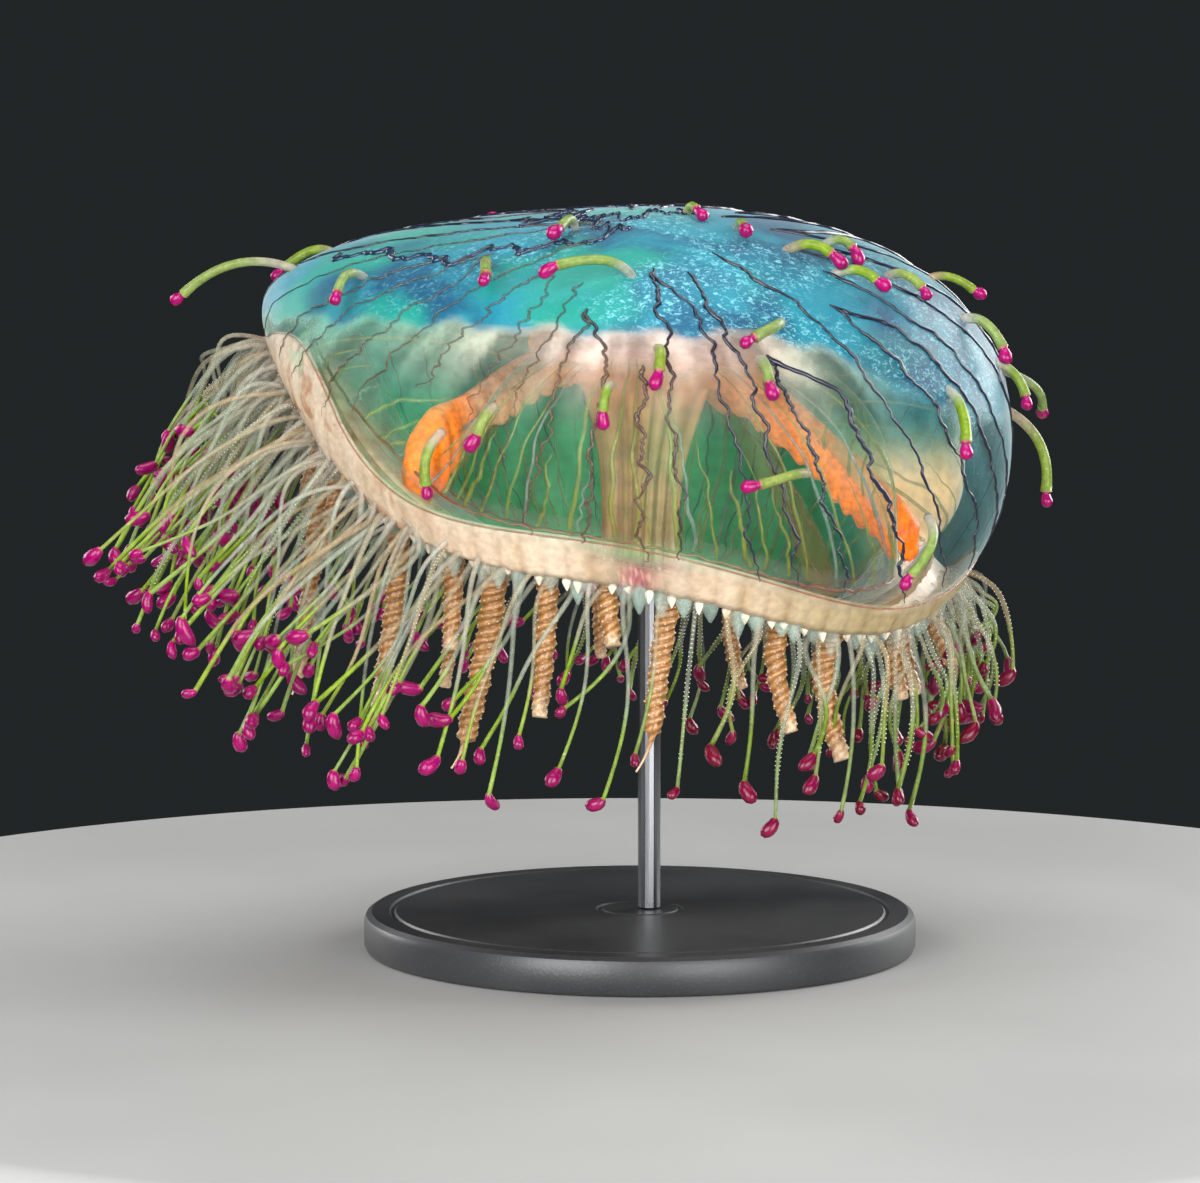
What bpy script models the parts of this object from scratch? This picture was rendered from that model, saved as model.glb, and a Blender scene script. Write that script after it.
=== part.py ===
"""A flower hat jelly, life size, held still by a plain display stand.

Sizes are in millimetres and turned to metres as each mesh is made. +Z is up, +X is the jelly's
low side and -Y its near side. Angles round the umbrella start at +X and turn towards +Y.
"""

import math

import bmesh
import bpy
from mathutils import Vector

MM = 0.001
GAP = 0.3  # between two nodes that meet

# The stand
BASE_RADIUS = 44.0
BASE_HEIGHT = 6.0
BASE_BEVEL = 1.2
ROD_RADIUS = 1.8
ROD_SIDES = 16
BASE_SIDES = 36

# The margin of the umbrella: a ring whose height waves with the angle
RING_LEVEL = 62.0
RING_WAVES = (6.75, -15.5, 9.9, -2.1, 3.6)  # for the cosines of 0 to 4 times the angle
RING_PITCH = -3.7  # the far side hangs lower
RING_RADIUS = 53.2
RING_SHIFT = -3.0  # narrower on the low side

# The outer face of the umbrella (exumbrella)
BELL_TOP = 55.6  # above the ring level
BELL_ROLL = 1.6  # how far the crown drops towards the high margin
BELL_LEAN = -4.0  # the crown leans to the near side
BELL_SQUARE = 2.3  # exponent of the superellipse
BELL_TURN = math.radians(113.5)  # where its lip ends, from the apex
BELL_TURN_SHIFT = math.radians(7)  # it turns in further on the low side
LIP_OUT = 1.0  # outside the ring's centre line
LIP_DROP = 4.0  # below it

# The inner face (subumbrella)
CAVITY_TOP = 36.6
CAVITY_LIFT = 3.0  # the ceiling rises towards the high margin
CAVITY_LEAN = -2.0
CAVITY_SQUARE = 2.7
CAVITY_TURN = math.radians(112.5)
CAVITY_TURN_SHIFT = math.radians(9.5)
RING_INWARD = 4.2  # from the ring's centre line to the cavity
CANAL_ANGLES = (45, 135, 225, 337.5)  # of the four radial canals
CANAL_SPREAD = math.radians(13)
CANAL_DEPTH = 0.85  # along a canal, the ceiling nears a straight line from apex to ring
CANAL_BULGE = 1.2

# How the umbrella is divided
SECTORS = 8
STEPS = 4  # facets in each sector
CROWN_END = 0.44  # shares of the way from apex to lip
WALL_END = 0.87
SEAM = 0.002  # half a gap, as such a share
SECTOR_SEAM = 0.6 * GAP / RING_RADIUS  # as an angle

# The margin's underside, from the lip inwards and back along the velum, a thin shelf:
# how far each corner lies inside the ring's centre line, and above it
VELUM_WIDTH = 8.0
LIP_CORNER = (1.6, -LIP_DROP - 0.4)
RING_CORNER = (RING_INWARD - 0.6, -2.4)
VELUM_CORNERS = (
    (RING_INWARD + 0.4, -1.4),
    (RING_INWARD + VELUM_WIDTH, -2.5),
    (RING_INWARD + VELUM_WIDTH, -1.6),
    (RING_INWARD + 0.3, -0.4),
)
CAVITY_CORNER = 0.94  # share at which the cavity's edge rounds over into the velum

# Tentacles
FINE_PER_SECTOR = 8
STALK_RADIUS = 0.6
STALK_SIDES = 4
BULB_RADIUS = 1.55
BULB_LENGTH = 3.6
GOLDEN = (math.sqrt(5) - 1) / 2  # spreads the lengths of neighbours
FINE_REACH = (4.0, 20.0, 9.0)  # outwards: everywhere, added on the high side, on the low side
FINE_DROP = (21.0, 16.0, 9.0)  # downwards: everywhere, and added towards these two angles
FINE_LONG_ANGLE = math.radians(215)
FINE_LOW_ANGLE = math.radians(315)
FINE_DRIFT = -3.5  # along X
FINE_SPREAD = 1.2  # along Y, either way
ROOT_DEPTH = 1.8  # of a short tentacle in the outer face

# The manubrium
MANUBRIUM_TOP_RADIUS = 10.5
MANUBRIUM_WAIST_RADIUS = 7.0
MOUTH_RADIUS = 7.5
MOUTH_LEVEL = -4.6  # below the ring level
MANUBRIUM_SPLIT = 0.62
MANUBRIUM_SIDES = 16  # so that points lie on the canals
MANUBRIUM_TAPER = 1.8  # from the stomach down to the flare of the mouth
FLARE_START = 0.8
MANUBRIUM_SHIFT = 1.5  # the mouth's centre, along X
STOMACH_LOBES = 0.16
LIP_LOBES = 0.34
STOMACH_GAP = 0.6  # under the ceiling, whose facets sag

# The gonads, folded ribbons that hang from the canals
GONAD_HALF = 1.2
GONAD_DEPTH = 4.8
GONAD_END = 0.93  # share of the way from apex to ring
GONAD_STEPS = 9
GONAD_FOLDS = 3
GONAD_SWAY = 0.9
GONAD_GAP = 0.4

# The thick, contracted primary tentacles:
# angle round the ring, length, thickness share, drift along X and towards the near side
PRIMARIES = (
    (22, 17, 0.9, 1, 2),
    (70, 15, 0.9, 1, 0),
    (97, 15, 0.85, 0, 1),
    (126, 26, 0.9, -2, 0),
    (160, 30, 0.9, -4, 1),
    (171, 22, 0.8, -1, 0),
    (197, 52, 1.0, -3, -2),
    (208, 20, 0.9, -2, -1),
    (226, 30, 1.0, -3, -1),
    (237, 16, 0.9, 0, 0),
    (245, 34, 1.15, -6, -1),
    (254, 22, 1.0, -1, -1),
    (264, 10, 1.0, 1, 1),
    (275, 30, 1.0, -4, 0),
    (295, 17, 1.0, 1, 0),
    (306, 20, 1.1, 1, 0),
    (325, 13, 1.0, 0, 0),
    (350, 15, 0.9, 2, 0),
)
PRIMARY_RADIUS = 1.8
PRIMARY_SIDES = 6
PRIMARY_TIP = 0.4  # share of the radius that is left at the tip
PRIMARY_TAPER = 2.2  # how late it narrows
PRIMARY_NECK = 0.8  # share of the radius at the root
LONG_PRIMARY = 28  # from this length on, a primary is made in two lengths
SHORT_STEPS = 5  # loops along a short primary
LONG_STEPS = 10

# Short tentacles on the outer face:
# angle, share of the way from apex to lip, length, heading along the face (0 is downwards)
EXUMBRELLA_TENTACLES = (
    (212, 0.50, 9, -30),
    (188, 0.60, 20, 5),
    (250, 0.24, 7, 0),
    (237, 0.39, 11, -35),
    (268, 0.41, 13, 75),
    (240, 0.78, 9, 5),
    (248, 0.72, 5, 20),
    (265, 0.66, 5, 10),
    (272, 0.58, 5, 0),
    (293, 0.50, 10, 55),
    (288, 0.58, 5, 0),
    (294, 0.76, 11, 85),
    (324, 0.62, 12, 30),
    (317, 0.80, 13, 50),
    (290, 0.14, 5, 0),
    (300, 0.22, 5, 20),
    (306, 0.30, 8, -30),
    (312, 0.37, 7, -40),
    (322, 0.28, 6, 0),
    (328, 0.38, 7, 0),
    (342, 0.50, 9, 10),
    (352, 0.40, 8, -10),
    (349, 0.60, 8, 10),
    (352, 0.62, 13, -40),
    (1, 0.70, 16, 10),
    (25, 0.56, 12, 0),
    (50, 0.70, 12, 20),
    (70, 0.38, 9, -20),
    (95, 0.60, 12, 0),
    (120, 0.38, 10, 20),
    (138, 0.36, 9, 180),
    (151, 0.64, 12, -10),
    (165, 0.50, 12, 0),
)


def superellipse(turn, exponent):
    """Radius and height shares at an angle from the apex."""
    across = abs(math.sin(turn)) ** (2 / exponent)
    up = math.copysign(abs(math.cos(turn)) ** (2 / exponent), math.cos(turn))
    return across, up


def dome_shares(share, turn, exponent):
    """Radius share, and height share from 1 at the apex to 0 at the lip."""
    across, up = superellipse(share * turn, exponent)
    lowest = superellipse(turn, exponent)[1]
    return across, (up - lowest) / (1 - lowest)


def ring_height(angle):
    waves = sum(size * math.cos(order * angle) for order, size in enumerate(RING_WAVES))
    return RING_LEVEL + waves + RING_PITCH * math.sin(angle)


def ring_radius(angle):
    return RING_RADIUS + RING_SHIFT * math.cos(angle)


def steepness(angle):
    """How much higher a section stands where the ring climbs, to keep its thickness."""
    small = 0.01
    climb = (ring_height(angle + small) - ring_height(angle - small)) / (2 * small)
    return math.hypot(1, climb / ring_radius(angle))


def outer_point(angle, share):
    turn = BELL_TURN + BELL_TURN_SHIFT * math.cos(angle)
    across, up = dome_shares(share, turn, BELL_SQUARE)
    lip_across = superellipse(turn, BELL_SQUARE)[0]
    radius = (ring_radius(angle) + LIP_OUT) * across / lip_across
    lip = ring_height(angle) - LIP_DROP * steepness(angle)
    top = RING_LEVEL + BELL_TOP + BELL_ROLL * across * min(0.0, math.cos(angle))
    return Vector(
        (
            radius * math.cos(angle),
            radius * math.sin(angle) + BELL_LEAN * up,
            lip + (top - lip) * up,
        )
    )


def canal_nearness(angle):
    """1 on a radial canal, falling to 0 between two canals."""
    nearest = 0.0
    for degrees in CANAL_ANGLES:
        apart = math.remainder(angle - math.radians(degrees), 2 * math.pi)
        nearest = max(nearest, math.exp(-((apart / CANAL_SPREAD) ** 2)))
    return nearest


def inner_point(angle, share):
    turn = CAVITY_TURN + CAVITY_TURN_SHIFT * math.cos(angle)
    across, up = dome_shares(share, turn, CAVITY_SQUARE)
    across /= superellipse(turn, CAVITY_SQUARE)[0]
    canal = CANAL_DEPTH * canal_nearness(angle)
    across += (share - across) * canal
    up += (1 - share**CANAL_BULGE - up) * canal
    radius = (ring_radius(angle) - RING_INWARD) * across
    lip = ring_height(angle)
    top = RING_LEVEL + CAVITY_TOP - CAVITY_LIFT * across * min(0.0, math.cos(angle))
    return Vector(
        (
            radius * math.cos(angle),
            radius * math.sin(angle) + CAVITY_LEAN * up,
            lip + (top - lip) * up,
        )
    )


def ring_point(angle, inward, above):
    """A point this far inside the ring's centre line and above it."""
    radius = ring_radius(angle) - inward
    height = ring_height(angle) + above * steepness(angle)
    return Vector((radius * math.cos(angle), radius * math.sin(angle), height))


def outward_of(angle):
    return Vector((math.cos(angle), math.sin(angle), 0))


def outer_normal(angle, share):
    small = 0.01
    down = outer_point(angle, share + small) - outer_point(angle, share - small)
    around = outer_point(angle + small, share) - outer_point(angle - small, share)
    return down.cross(around).normalized()


def principled(name, colour, roughness=0.4):
    material = bpy.data.materials.new(name)
    material.use_nodes = True
    shader = material.node_tree.nodes["Principled BSDF"]
    shader.inputs["Base Color"].default_value = (*colour, 1.0)
    shader.inputs["Roughness"].default_value = roughness
    material.diffuse_color = (*colour, 1.0)
    return material


def loft(name, loops, colour=None, start=None, end=None):
    """A solid through loops of equally many points, each end closed by a face or by a point."""
    shape = bmesh.new()
    rows = [[shape.verts.new(point * MM) for point in loop] for loop in loops]
    count = len(rows[0])
    for row, following in zip(rows, rows[1:]):
        for i in range(count):
            j = (i + 1) % count
            shape.faces.new((row[i], row[j], following[j]))
            shape.faces.new((row[i], following[j], following[i]))
    for row, point in ((rows[0], start), (rows[-1], end)):
        if point is None:
            shape.faces.new(row)
            continue
        tip = shape.verts.new(point * MM)
        for i in range(count):
            shape.faces.new((row[i], row[(i + 1) % count], tip))
    bmesh.ops.recalc_face_normals(shape, faces=shape.faces)
    mesh = bpy.data.meshes.new(name)
    shape.to_mesh(mesh)
    shape.free()
    body = bpy.data.objects.new(name, mesh)
    bpy.context.scene.collection.objects.link(body)
    if colour is not None:
        mesh.materials.append(principled(name, colour))
    return body


def unite(body, pieces):
    """Joins the pieces to the body and removes them."""
    for piece in pieces:
        modifier = body.modifiers.new("unite", "BOOLEAN")
        modifier.operation = "UNION"
        modifier.solver = "EXACT"
        modifier.object = piece
        graph = bpy.context.evaluated_depsgraph_get()
        mesh = bpy.data.meshes.new_from_object(body.evaluated_get(graph))
        body.modifiers.clear()
        body.data = mesh
        bpy.data.objects.remove(piece)
    return body


def circle(centre, radius, sides, axis=Vector((0, 0, 1)), toward=Vector((1, 0, 0))):
    """Points round the centre, square to the axis."""
    side = (toward - axis * toward.dot(axis)).normalized()
    other = axis.cross(side)
    turns = [2 * math.pi * i / sides for i in range(sides)]
    return [centre + (side * math.cos(turn) + other * math.sin(turn)) * radius for turn in turns]


def tube_loops(path, radii, sides, first_axis=None):
    """Loops along a path, whose sides don't twist."""
    loops = []
    toward = Vector((0.31, 0.95, 0.1)).normalized()
    for i, (point, radius) in enumerate(zip(path, radii)):
        before = path[max(i - 1, 0)]
        after = path[min(i + 1, len(path) - 1)]
        axis = (after - before).normalized()
        if i == 0 and first_axis is not None:
            axis = first_axis
        loops.append(circle(point, radius, sides, axis, toward))
        toward = (loops[-1][0] - point).normalized()
    return loops


def bezier(points, share):
    """A point on the curve that these control points steer."""
    while len(points) > 1:
        points = [a.lerp(b, share) for a, b in zip(points, points[1:])]
    return points[0]


def even(count, index):
    return index / (count - 1)


def seam_angles(sector):
    """The angles of one sector's facets, drawn in by half a gap at both ends."""
    width = 2 * math.pi / SECTORS
    angles = [width * (sector + i / STEPS) for i in range(STEPS + 1)]
    angles[0] += SECTOR_SEAM
    angles[-1] -= SECTOR_SEAM
    return angles


def crown():
    """The thick top of the umbrella, in one piece."""
    count = SECTORS * STEPS
    angles = [2 * math.pi * i / count for i in range(count)]
    outer_shares = [CROWN_END * share for share in (0.16, 0.36, 0.56, 0.78)]
    inner_shares = [CROWN_END * share for share in (0.7, 0.38)]
    edge = CROWN_END - SEAM
    loops = [[outer_point(a, share) for a in angles] for share in (*outer_shares, edge)]
    loops += [[inner_point(a, share) for a in angles] for share in (edge, *inner_shares)]
    return loft(
        "umbrella_crown",
        loops,
        (0.22, 0.52, 0.60),
        start=outer_point(0, 0),
        end=inner_point(0, 0),
    )


def wall(sector):
    """One sector of the umbrella's wall, from crown to margin."""
    top = CROWN_END + SEAM
    bottom = WALL_END - SEAM
    shares = [top + (bottom - top) * even(5, i) for i in range(5)]
    loops = []
    for angle in seam_angles(sector):
        inside = [inner_point(angle, share) for share in shares]
        outside = [outer_point(angle, share) for share in reversed(shares)]
        loops.append(inside + outside)
    return loft(f"umbrella_wall_{sector + 1}", loops, (0.45, 0.62, 0.62))


def margin(sector):
    """One sector of the margin: the lip, the nettle ring and the velum that reaches inwards."""
    top = WALL_END + SEAM
    loops = []
    for angle in seam_angles(sector):
        loops.append(
            [
                outer_point(angle, top),
                outer_point(angle, (top + 1) / 2),
                outer_point(angle, 1),
                ring_point(angle, *LIP_CORNER),
                ring_point(angle, *RING_CORNER),
                *(ring_point(angle, *corner) for corner in VELUM_CORNERS),
                inner_point(angle, CAVITY_CORNER),
                inner_point(angle, top),
            ]
        )
    return loft(f"margin_{sector + 1}", loops, (0.86, 0.72, 0.58))


def stalk_with_bulb(name, path):
    """A fine tentacle whose end swells into a bulb."""
    last = path[-1]
    heading = (last - path[-2]).normalized()
    bulb = [last + heading * BULB_LENGTH * share for share in (0.25, 0.7)]
    radii = [STALK_RADIUS] * len(path) + [BULB_RADIUS, BULB_RADIUS * 0.85]
    loops = tube_loops([*path, *bulb], radii, STALK_SIDES)
    return loft(name, loops, end=last + heading * BULB_LENGTH)


def fine_reach(angle):
    """How far a fine tentacle sweeps outwards: most on the high side."""
    everywhere, high, low = FINE_REACH
    reach = everywhere + high * max(0.0, -math.cos(angle)) ** 1.5
    return reach + low * max(0.0, math.cos(angle)) ** 3


def fine_drop(angle):
    """How far its tip hangs below its root: most on the near side of the high margin."""
    everywhere, long, low = FINE_DROP
    drop = everywhere + long * max(0.0, math.cos(angle - FINE_LONG_ANGLE)) ** 1.5
    return drop + low * max(0.0, math.cos(angle - FINE_LOW_ANGLE)) ** 4


def fine_path(angle, variation, steps=4):
    """Its line: out of the ring's lower edge, then down."""
    root = ring_point(angle, 0.8, -LIP_DROP + 0.9)
    outward = outward_of(angle)
    reach = fine_reach(angle) * (0.45 + 0.6 * variation)
    drop = fine_drop(angle) * (1.08 - 0.42 * variation)
    drift = Vector((FINE_DRIFT, FINE_SPREAD * (1 - 2 * variation), 0))
    shoulder = root + outward * (reach * 0.75) + Vector((0, 0, -drop * 0.22))
    tip = root + outward * reach + Vector((0, 0, -drop)) + drift
    return [bezier([root, shoulder, tip], even(steps, i)) for i in range(steps)]


def fine_tentacles(sector):
    width = 2 * math.pi / SECTORS
    pieces = []
    for i in range(FINE_PER_SECTOR):
        angle = width * (sector + (i + 0.5) / FINE_PER_SECTOR)
        variation = ((sector * FINE_PER_SECTOR + i) * GOLDEN) % 1
        pieces.append(stalk_with_bulb(f"fine_{sector}_{i}", fine_path(angle, variation)))
    return pieces


def exumbrella_path(angle, share, length, heading, steps=3):
    """A short line that rises from the outer face and bends over."""
    root = outer_point(angle, share)
    normal = outer_normal(angle, share)
    down = (outer_point(angle, share + 0.02) - root).normalized()
    along = down * math.cos(heading) + down.cross(normal) * math.sin(heading)
    start = root - normal * ROOT_DEPTH
    bend = root + normal * length * 0.55 + along * length * 0.2
    tip = root + normal * length * 0.3 + along * length * 0.85
    return [bezier([start, bend, tip], even(steps, i)) for i in range(steps)]


def exumbrella_tentacles(first_share, last_share, sector=None):
    """The short tentacles that grow between these shares, of one sector or of all."""
    width = 2 * math.pi / SECTORS
    pieces = []
    for number, (degrees, share, length, heading) in enumerate(EXUMBRELLA_TENTACLES):
        angle = math.radians(degrees)
        inside = sector is None or int(angle // width) == sector
        if inside and first_share < share <= last_share:
            path = exumbrella_path(angle, share, length, math.radians(heading))
            pieces.append(stalk_with_bulb(f"short_{number}", path))
    return pieces


def primary_path(angle, length, drift_x, drift_near, steps):
    """Its line: square to the ring's underside at the root, then straight down."""
    small = 0.02
    lip, ring = ring_point(angle, *LIP_CORNER), ring_point(angle, *RING_CORNER)
    around = ring_point(angle + small, 2.4, 0) - ring_point(angle - small, 2.4, 0)
    normal = (ring - lip).cross(around).normalized()
    if normal.z > 0:
        normal = -normal
    root = lip.lerp(ring, 0.45) + normal * (GAP + 0.2 * steepness(angle))
    tip = root + Vector((drift_x, -drift_near, -length))
    bend = root + normal * min(5.0, length * 0.25)
    hang = bend + Vector((drift_x * 0.2, -drift_near * 0.2, -length * 0.3))
    path = [bezier([root, bend, hang, tip], even(steps, i)) for i in range(steps)]
    return path, normal


def primary(number, degrees, length, thickness, drift_x, drift_near):
    """One thick tentacle, in two lengths if it is a long one."""
    steps = SHORT_STEPS if length < LONG_PRIMARY else LONG_STEPS
    path, normal = primary_path(math.radians(degrees), length, drift_x, drift_near, steps)
    radius = PRIMARY_RADIUS * thickness
    narrowing = [even(steps, i) ** PRIMARY_TAPER for i in range(steps)]
    radii = [radius * (1 - (1 - PRIMARY_TIP) * share) for share in narrowing]
    radii[0] *= PRIMARY_NECK
    loops = tube_loops(path, radii, PRIMARY_SIDES, normal)
    colour = (0.62, 0.40, 0.22)
    if length < LONG_PRIMARY:
        loft(f"primary_{number}", loops, colour)
        return
    middle = steps // 2
    axis = (path[middle + 1] - path[middle]).normalized()
    lower = [[point + axis * GAP for point in loops[middle]], *loops[middle + 1 :]]
    loft(f"primary_{number}_upper", loops[: middle + 1], colour)
    loft(f"primary_{number}_lower", lower, colour)


def manubrium_radius(share, angle):
    """From the stomach's shoulders (0) by the waist to the frilled mouth (1)."""
    narrowing = math.cos(math.pi / 2 * min(share / MANUBRIUM_SPLIT, 1.0)) ** 2
    flare = max(0.0, (share - FLARE_START) / (1 - FLARE_START)) ** 1.5
    radius = MANUBRIUM_WAIST_RADIUS
    radius += (MANUBRIUM_TOP_RADIUS - MANUBRIUM_WAIST_RADIUS) * narrowing
    radius += (MOUTH_RADIUS - MANUBRIUM_WAIST_RADIUS) * flare
    radius -= MANUBRIUM_TAPER * share * (1 - flare)
    lobes = STOMACH_LOBES + (LIP_LOBES - STOMACH_LOBES) * flare
    return radius * (1 + lobes * (2 * canal_nearness(angle) - 1))


def ceiling_share(angle, radius):
    """The share of the way from apex to ring at which the ceiling reaches this radius."""
    low, high = 0.0, 0.8
    for _ in range(30):
        middle = (low + high) / 2
        point = inner_point(angle, middle)
        if math.hypot(point.x, point.y - CAVITY_LEAN) < radius:
            low = middle
        else:
            high = middle
    return low


def manubrium_loop(share):
    apex = inner_point(0, 0)
    bottom = RING_LEVEL + MOUTH_LEVEL
    height = apex.z - share * (apex.z - bottom)
    centre = Vector((MANUBRIUM_SHIFT * share, apex.y * (1 - share), height))
    loop = []
    for i in range(MANUBRIUM_SIDES):
        angle = 2 * math.pi * i / MANUBRIUM_SIDES
        radius = manubrium_radius(share, angle)
        point = centre + outward_of(angle) * radius
        if share == 0:
            point.z = inner_point(angle, ceiling_share(angle, radius)).z - STOMACH_GAP
        loop.append(point)
    return loop


def manubrium():
    """The stomach under the crown and the mouth tube that hangs from it."""
    colour = (0.84, 0.62, 0.50)
    upper = [manubrium_loop(MANUBRIUM_SPLIT * even(5, i)) for i in range(5)]
    crest = inner_point(0, 0) - Vector((0, 0, STOMACH_GAP))
    loft("manubrium_stomach", upper, colour, start=crest)
    start = MANUBRIUM_SPLIT + 0.007
    lower = [manubrium_loop(start + (1 - start) * share) for share in (0, 0.25, 0.5, 0.75, 1)]
    loft("manubrium_mouth", lower, colour)


def gonad_loop(angle, share, progress):
    """Cross-section of a folded ribbon that hangs from its canal."""
    hang = inner_point(angle, share) - Vector((0, 0, GONAD_GAP))
    outward = outward_of(angle)
    aside = Vector((-outward.y, outward.x, 0))
    sway = GONAD_SWAY * math.sin(2 * math.pi * GONAD_FOLDS * progress)
    swell = 0.5 + 0.5 * math.sin(math.pi * min(1.0, 0.15 + progress))
    halves = (0.45 * GONAD_HALF, GONAD_HALF * swell, 0.6 * GONAD_HALF * swell)
    sways = (0.0, sway, 1.3 * sway)
    depths = (0.0, 0.5 * GONAD_DEPTH * swell, GONAD_DEPTH * swell)
    sides = []
    for half, shift, depth in zip(halves, sways, depths):
        middle = hang + aside * shift - Vector((0, 0, depth))
        sides.append((middle - aside * half, middle + aside * half))
    return [left for left, _ in sides] + [right for _, right in reversed(sides)]


def gonad(number, degrees):
    angle = math.radians(degrees)
    start = ceiling_share(angle, manubrium_radius(0, angle) + 2 * GAP)
    loops = []
    for i in range(GONAD_STEPS):
        progress = even(GONAD_STEPS, i)
        loops.append(gonad_loop(angle, start + (GONAD_END - start) * progress, progress))
    loft(f"gonad_{number}", loops, (0.90, 0.42, 0.10))


def stand():
    """A flat round base and one rod up to the mouth."""
    up = Vector((0, 0, 1))
    profile = (
        (BASE_RADIUS, 0),
        (BASE_RADIUS, BASE_HEIGHT - BASE_BEVEL),
        (BASE_RADIUS - BASE_BEVEL, BASE_HEIGHT),
    )
    loops = [circle(up * height, radius, BASE_SIDES) for radius, height in profile]
    loft("stand_base", loops, (0.10, 0.10, 0.11))
    top = RING_LEVEL + MOUTH_LEVEL - GAP
    centre = Vector((MANUBRIUM_SHIFT, 0, 0))
    rod = [circle(centre + up * z, ROD_RADIUS, ROD_SIDES) for z in (BASE_HEIGHT + GAP, top)]
    loft("stand_rod", rod, (0.55, 0.56, 0.58))


def build():
    for old in list(bpy.data.objects):
        bpy.data.objects.remove(old)
    unite(crown(), exumbrella_tentacles(0, CROWN_END))
    for sector in range(SECTORS):
        unite(wall(sector), exumbrella_tentacles(CROWN_END, WALL_END, sector))
        unite(margin(sector), fine_tentacles(sector))
    manubrium()
    for number, degrees in enumerate(CANAL_ANGLES, 1):
        gonad(number, degrees)
    for number, row in enumerate(PRIMARIES, 1):
        primary(number, *row)
    stand()


build()
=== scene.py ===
"""The looks of a still, life-size flower hat jelly on its display stand.

The shapes follow the same formulas as the solids. Sizes are in millimetres, and turned to metres
as each mesh is made. Angles start at +X, the low side, and turn towards +Y, the far side. A share
of a face runs from 0 at its top to 1 at the lip. Colours are in linear light, and an alpha of 1
is solid.
"""

import bpy
import numpy as np
from numpy import arange, cos, exp, linspace, maximum, pi, radians, sin
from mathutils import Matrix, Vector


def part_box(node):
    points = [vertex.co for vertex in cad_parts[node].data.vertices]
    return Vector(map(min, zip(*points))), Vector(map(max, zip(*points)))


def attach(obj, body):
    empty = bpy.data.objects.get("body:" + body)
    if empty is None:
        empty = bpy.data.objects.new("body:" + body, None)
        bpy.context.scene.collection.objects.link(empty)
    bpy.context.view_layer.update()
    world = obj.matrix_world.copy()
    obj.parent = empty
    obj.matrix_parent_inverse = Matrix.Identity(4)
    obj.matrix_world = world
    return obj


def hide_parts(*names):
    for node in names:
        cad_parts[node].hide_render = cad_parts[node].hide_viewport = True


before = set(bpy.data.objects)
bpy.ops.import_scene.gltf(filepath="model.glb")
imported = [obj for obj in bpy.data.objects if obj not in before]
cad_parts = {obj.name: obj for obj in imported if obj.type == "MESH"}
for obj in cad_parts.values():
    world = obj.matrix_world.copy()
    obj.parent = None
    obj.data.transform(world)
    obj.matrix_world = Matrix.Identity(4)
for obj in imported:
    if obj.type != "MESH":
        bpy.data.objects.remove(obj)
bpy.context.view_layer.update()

MM = 0.001
TURN = 2 * pi
GOLDEN = (5**0.5 - 1) / 2
random = np.random.default_rng(11)
draw = random.random

# Camera
CAMERA_LENS = 113.4
CAMERA_AIM = (-6.35, 0.0, 56.8)
CAMERA_DISTANCE = 600.0
CAMERA_ELEVATION = radians(5)

# The margin of the umbrella: a ring whose height waves with the angle
RING_LEVEL = 62.0
RING_WAVES = (6.75, -15.5, 9.9, -2.1, 3.6)
RING_PITCH = -3.7
RING_RADIUS = 53.2
RING_SHIFT = -3.0
RING_INWARD = 4.2
LIP_OUT = 1.0
LIP_DROP = 4.0
VELUM_WIDTH = 8.0
LIP_CORNERS = (  # from the outer face to the inner one: how far inward, and how far above the ring
    (1.6, -LIP_DROP - 0.4),
    (RING_INWARD - 0.6, -2.4),
    (RING_INWARD + 0.4, -1.4),
    (RING_INWARD + VELUM_WIDTH, -2.5),
    (RING_INWARD + VELUM_WIDTH, -1.6),
    (RING_INWARD + 0.3, -0.4),
)
MOUTH_VIEW = radians(269)  # where the ring is thin and the mouth shows through it
MOUTH_VIEW_WIDTH = radians(6.5)

# The outer face of the umbrella
BELL_TOP = 55.6
BELL_ROLL = 1.6
BELL_LEAN = -4.0
BELL_SQUARE = 2.3
BELL_TURN = radians(113.5)
BELL_TURN_SHIFT = radians(7)
SKIN_COLUMNS = 360
CAP_LEVEL = 98.4  # how low the frosty blue crown reaches
# Waves of streaks: how many to a turn, weight and start
STREAK_WAVES = ((7, 0.5, 0.4), (13, 0.8, 1.9), (22, 0.8, 4.0), (37, 0.5, 2.2), (61, 0.3, 0.7))

# The inner face
CAVITY_TOP = 36.6
CAVITY_LIFT = 3.0
CAVITY_LEAN = -2.0
CAVITY_SQUARE = 2.7
CAVITY_TURN = radians(112.5)
CAVITY_TURN_SHIFT = radians(9.5)
CANAL_ANGLES = (45, 135, 225, 337.5)
CANAL_SPREAD = radians(13)
CANAL_DEPTH = 0.85
CANAL_BULGE = 1.2

# The fan of lines and streaks on the outer face, whose middle lies towards the near side
FAN_MIDDLE = np.array([2.0, 0.0, 72.0])
FAN_TILT = radians(38)
FAN_AXIS = np.array([0.0, -sin(FAN_TILT), cos(FAN_TILT)])
FAN_RIGHT = np.array([1.0, 0.0, 0.0])
FAN_BACK = np.cross(FAN_AXIS, FAN_RIGHT)
WIDEST_OPENING = 2.9
# dark lines painted as the shade where the outer face is creased
CREASES = (  # first and last angle, share at each, size of the waves, and width
    (196, 266, 0.47, 0.26, 1.0, 0.44),
    (222, 300, 0.20, 0.13, 1.3, 0.34),
    (228, 262, 0.13, 0.24, 1.6, 0.30),
)

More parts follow.
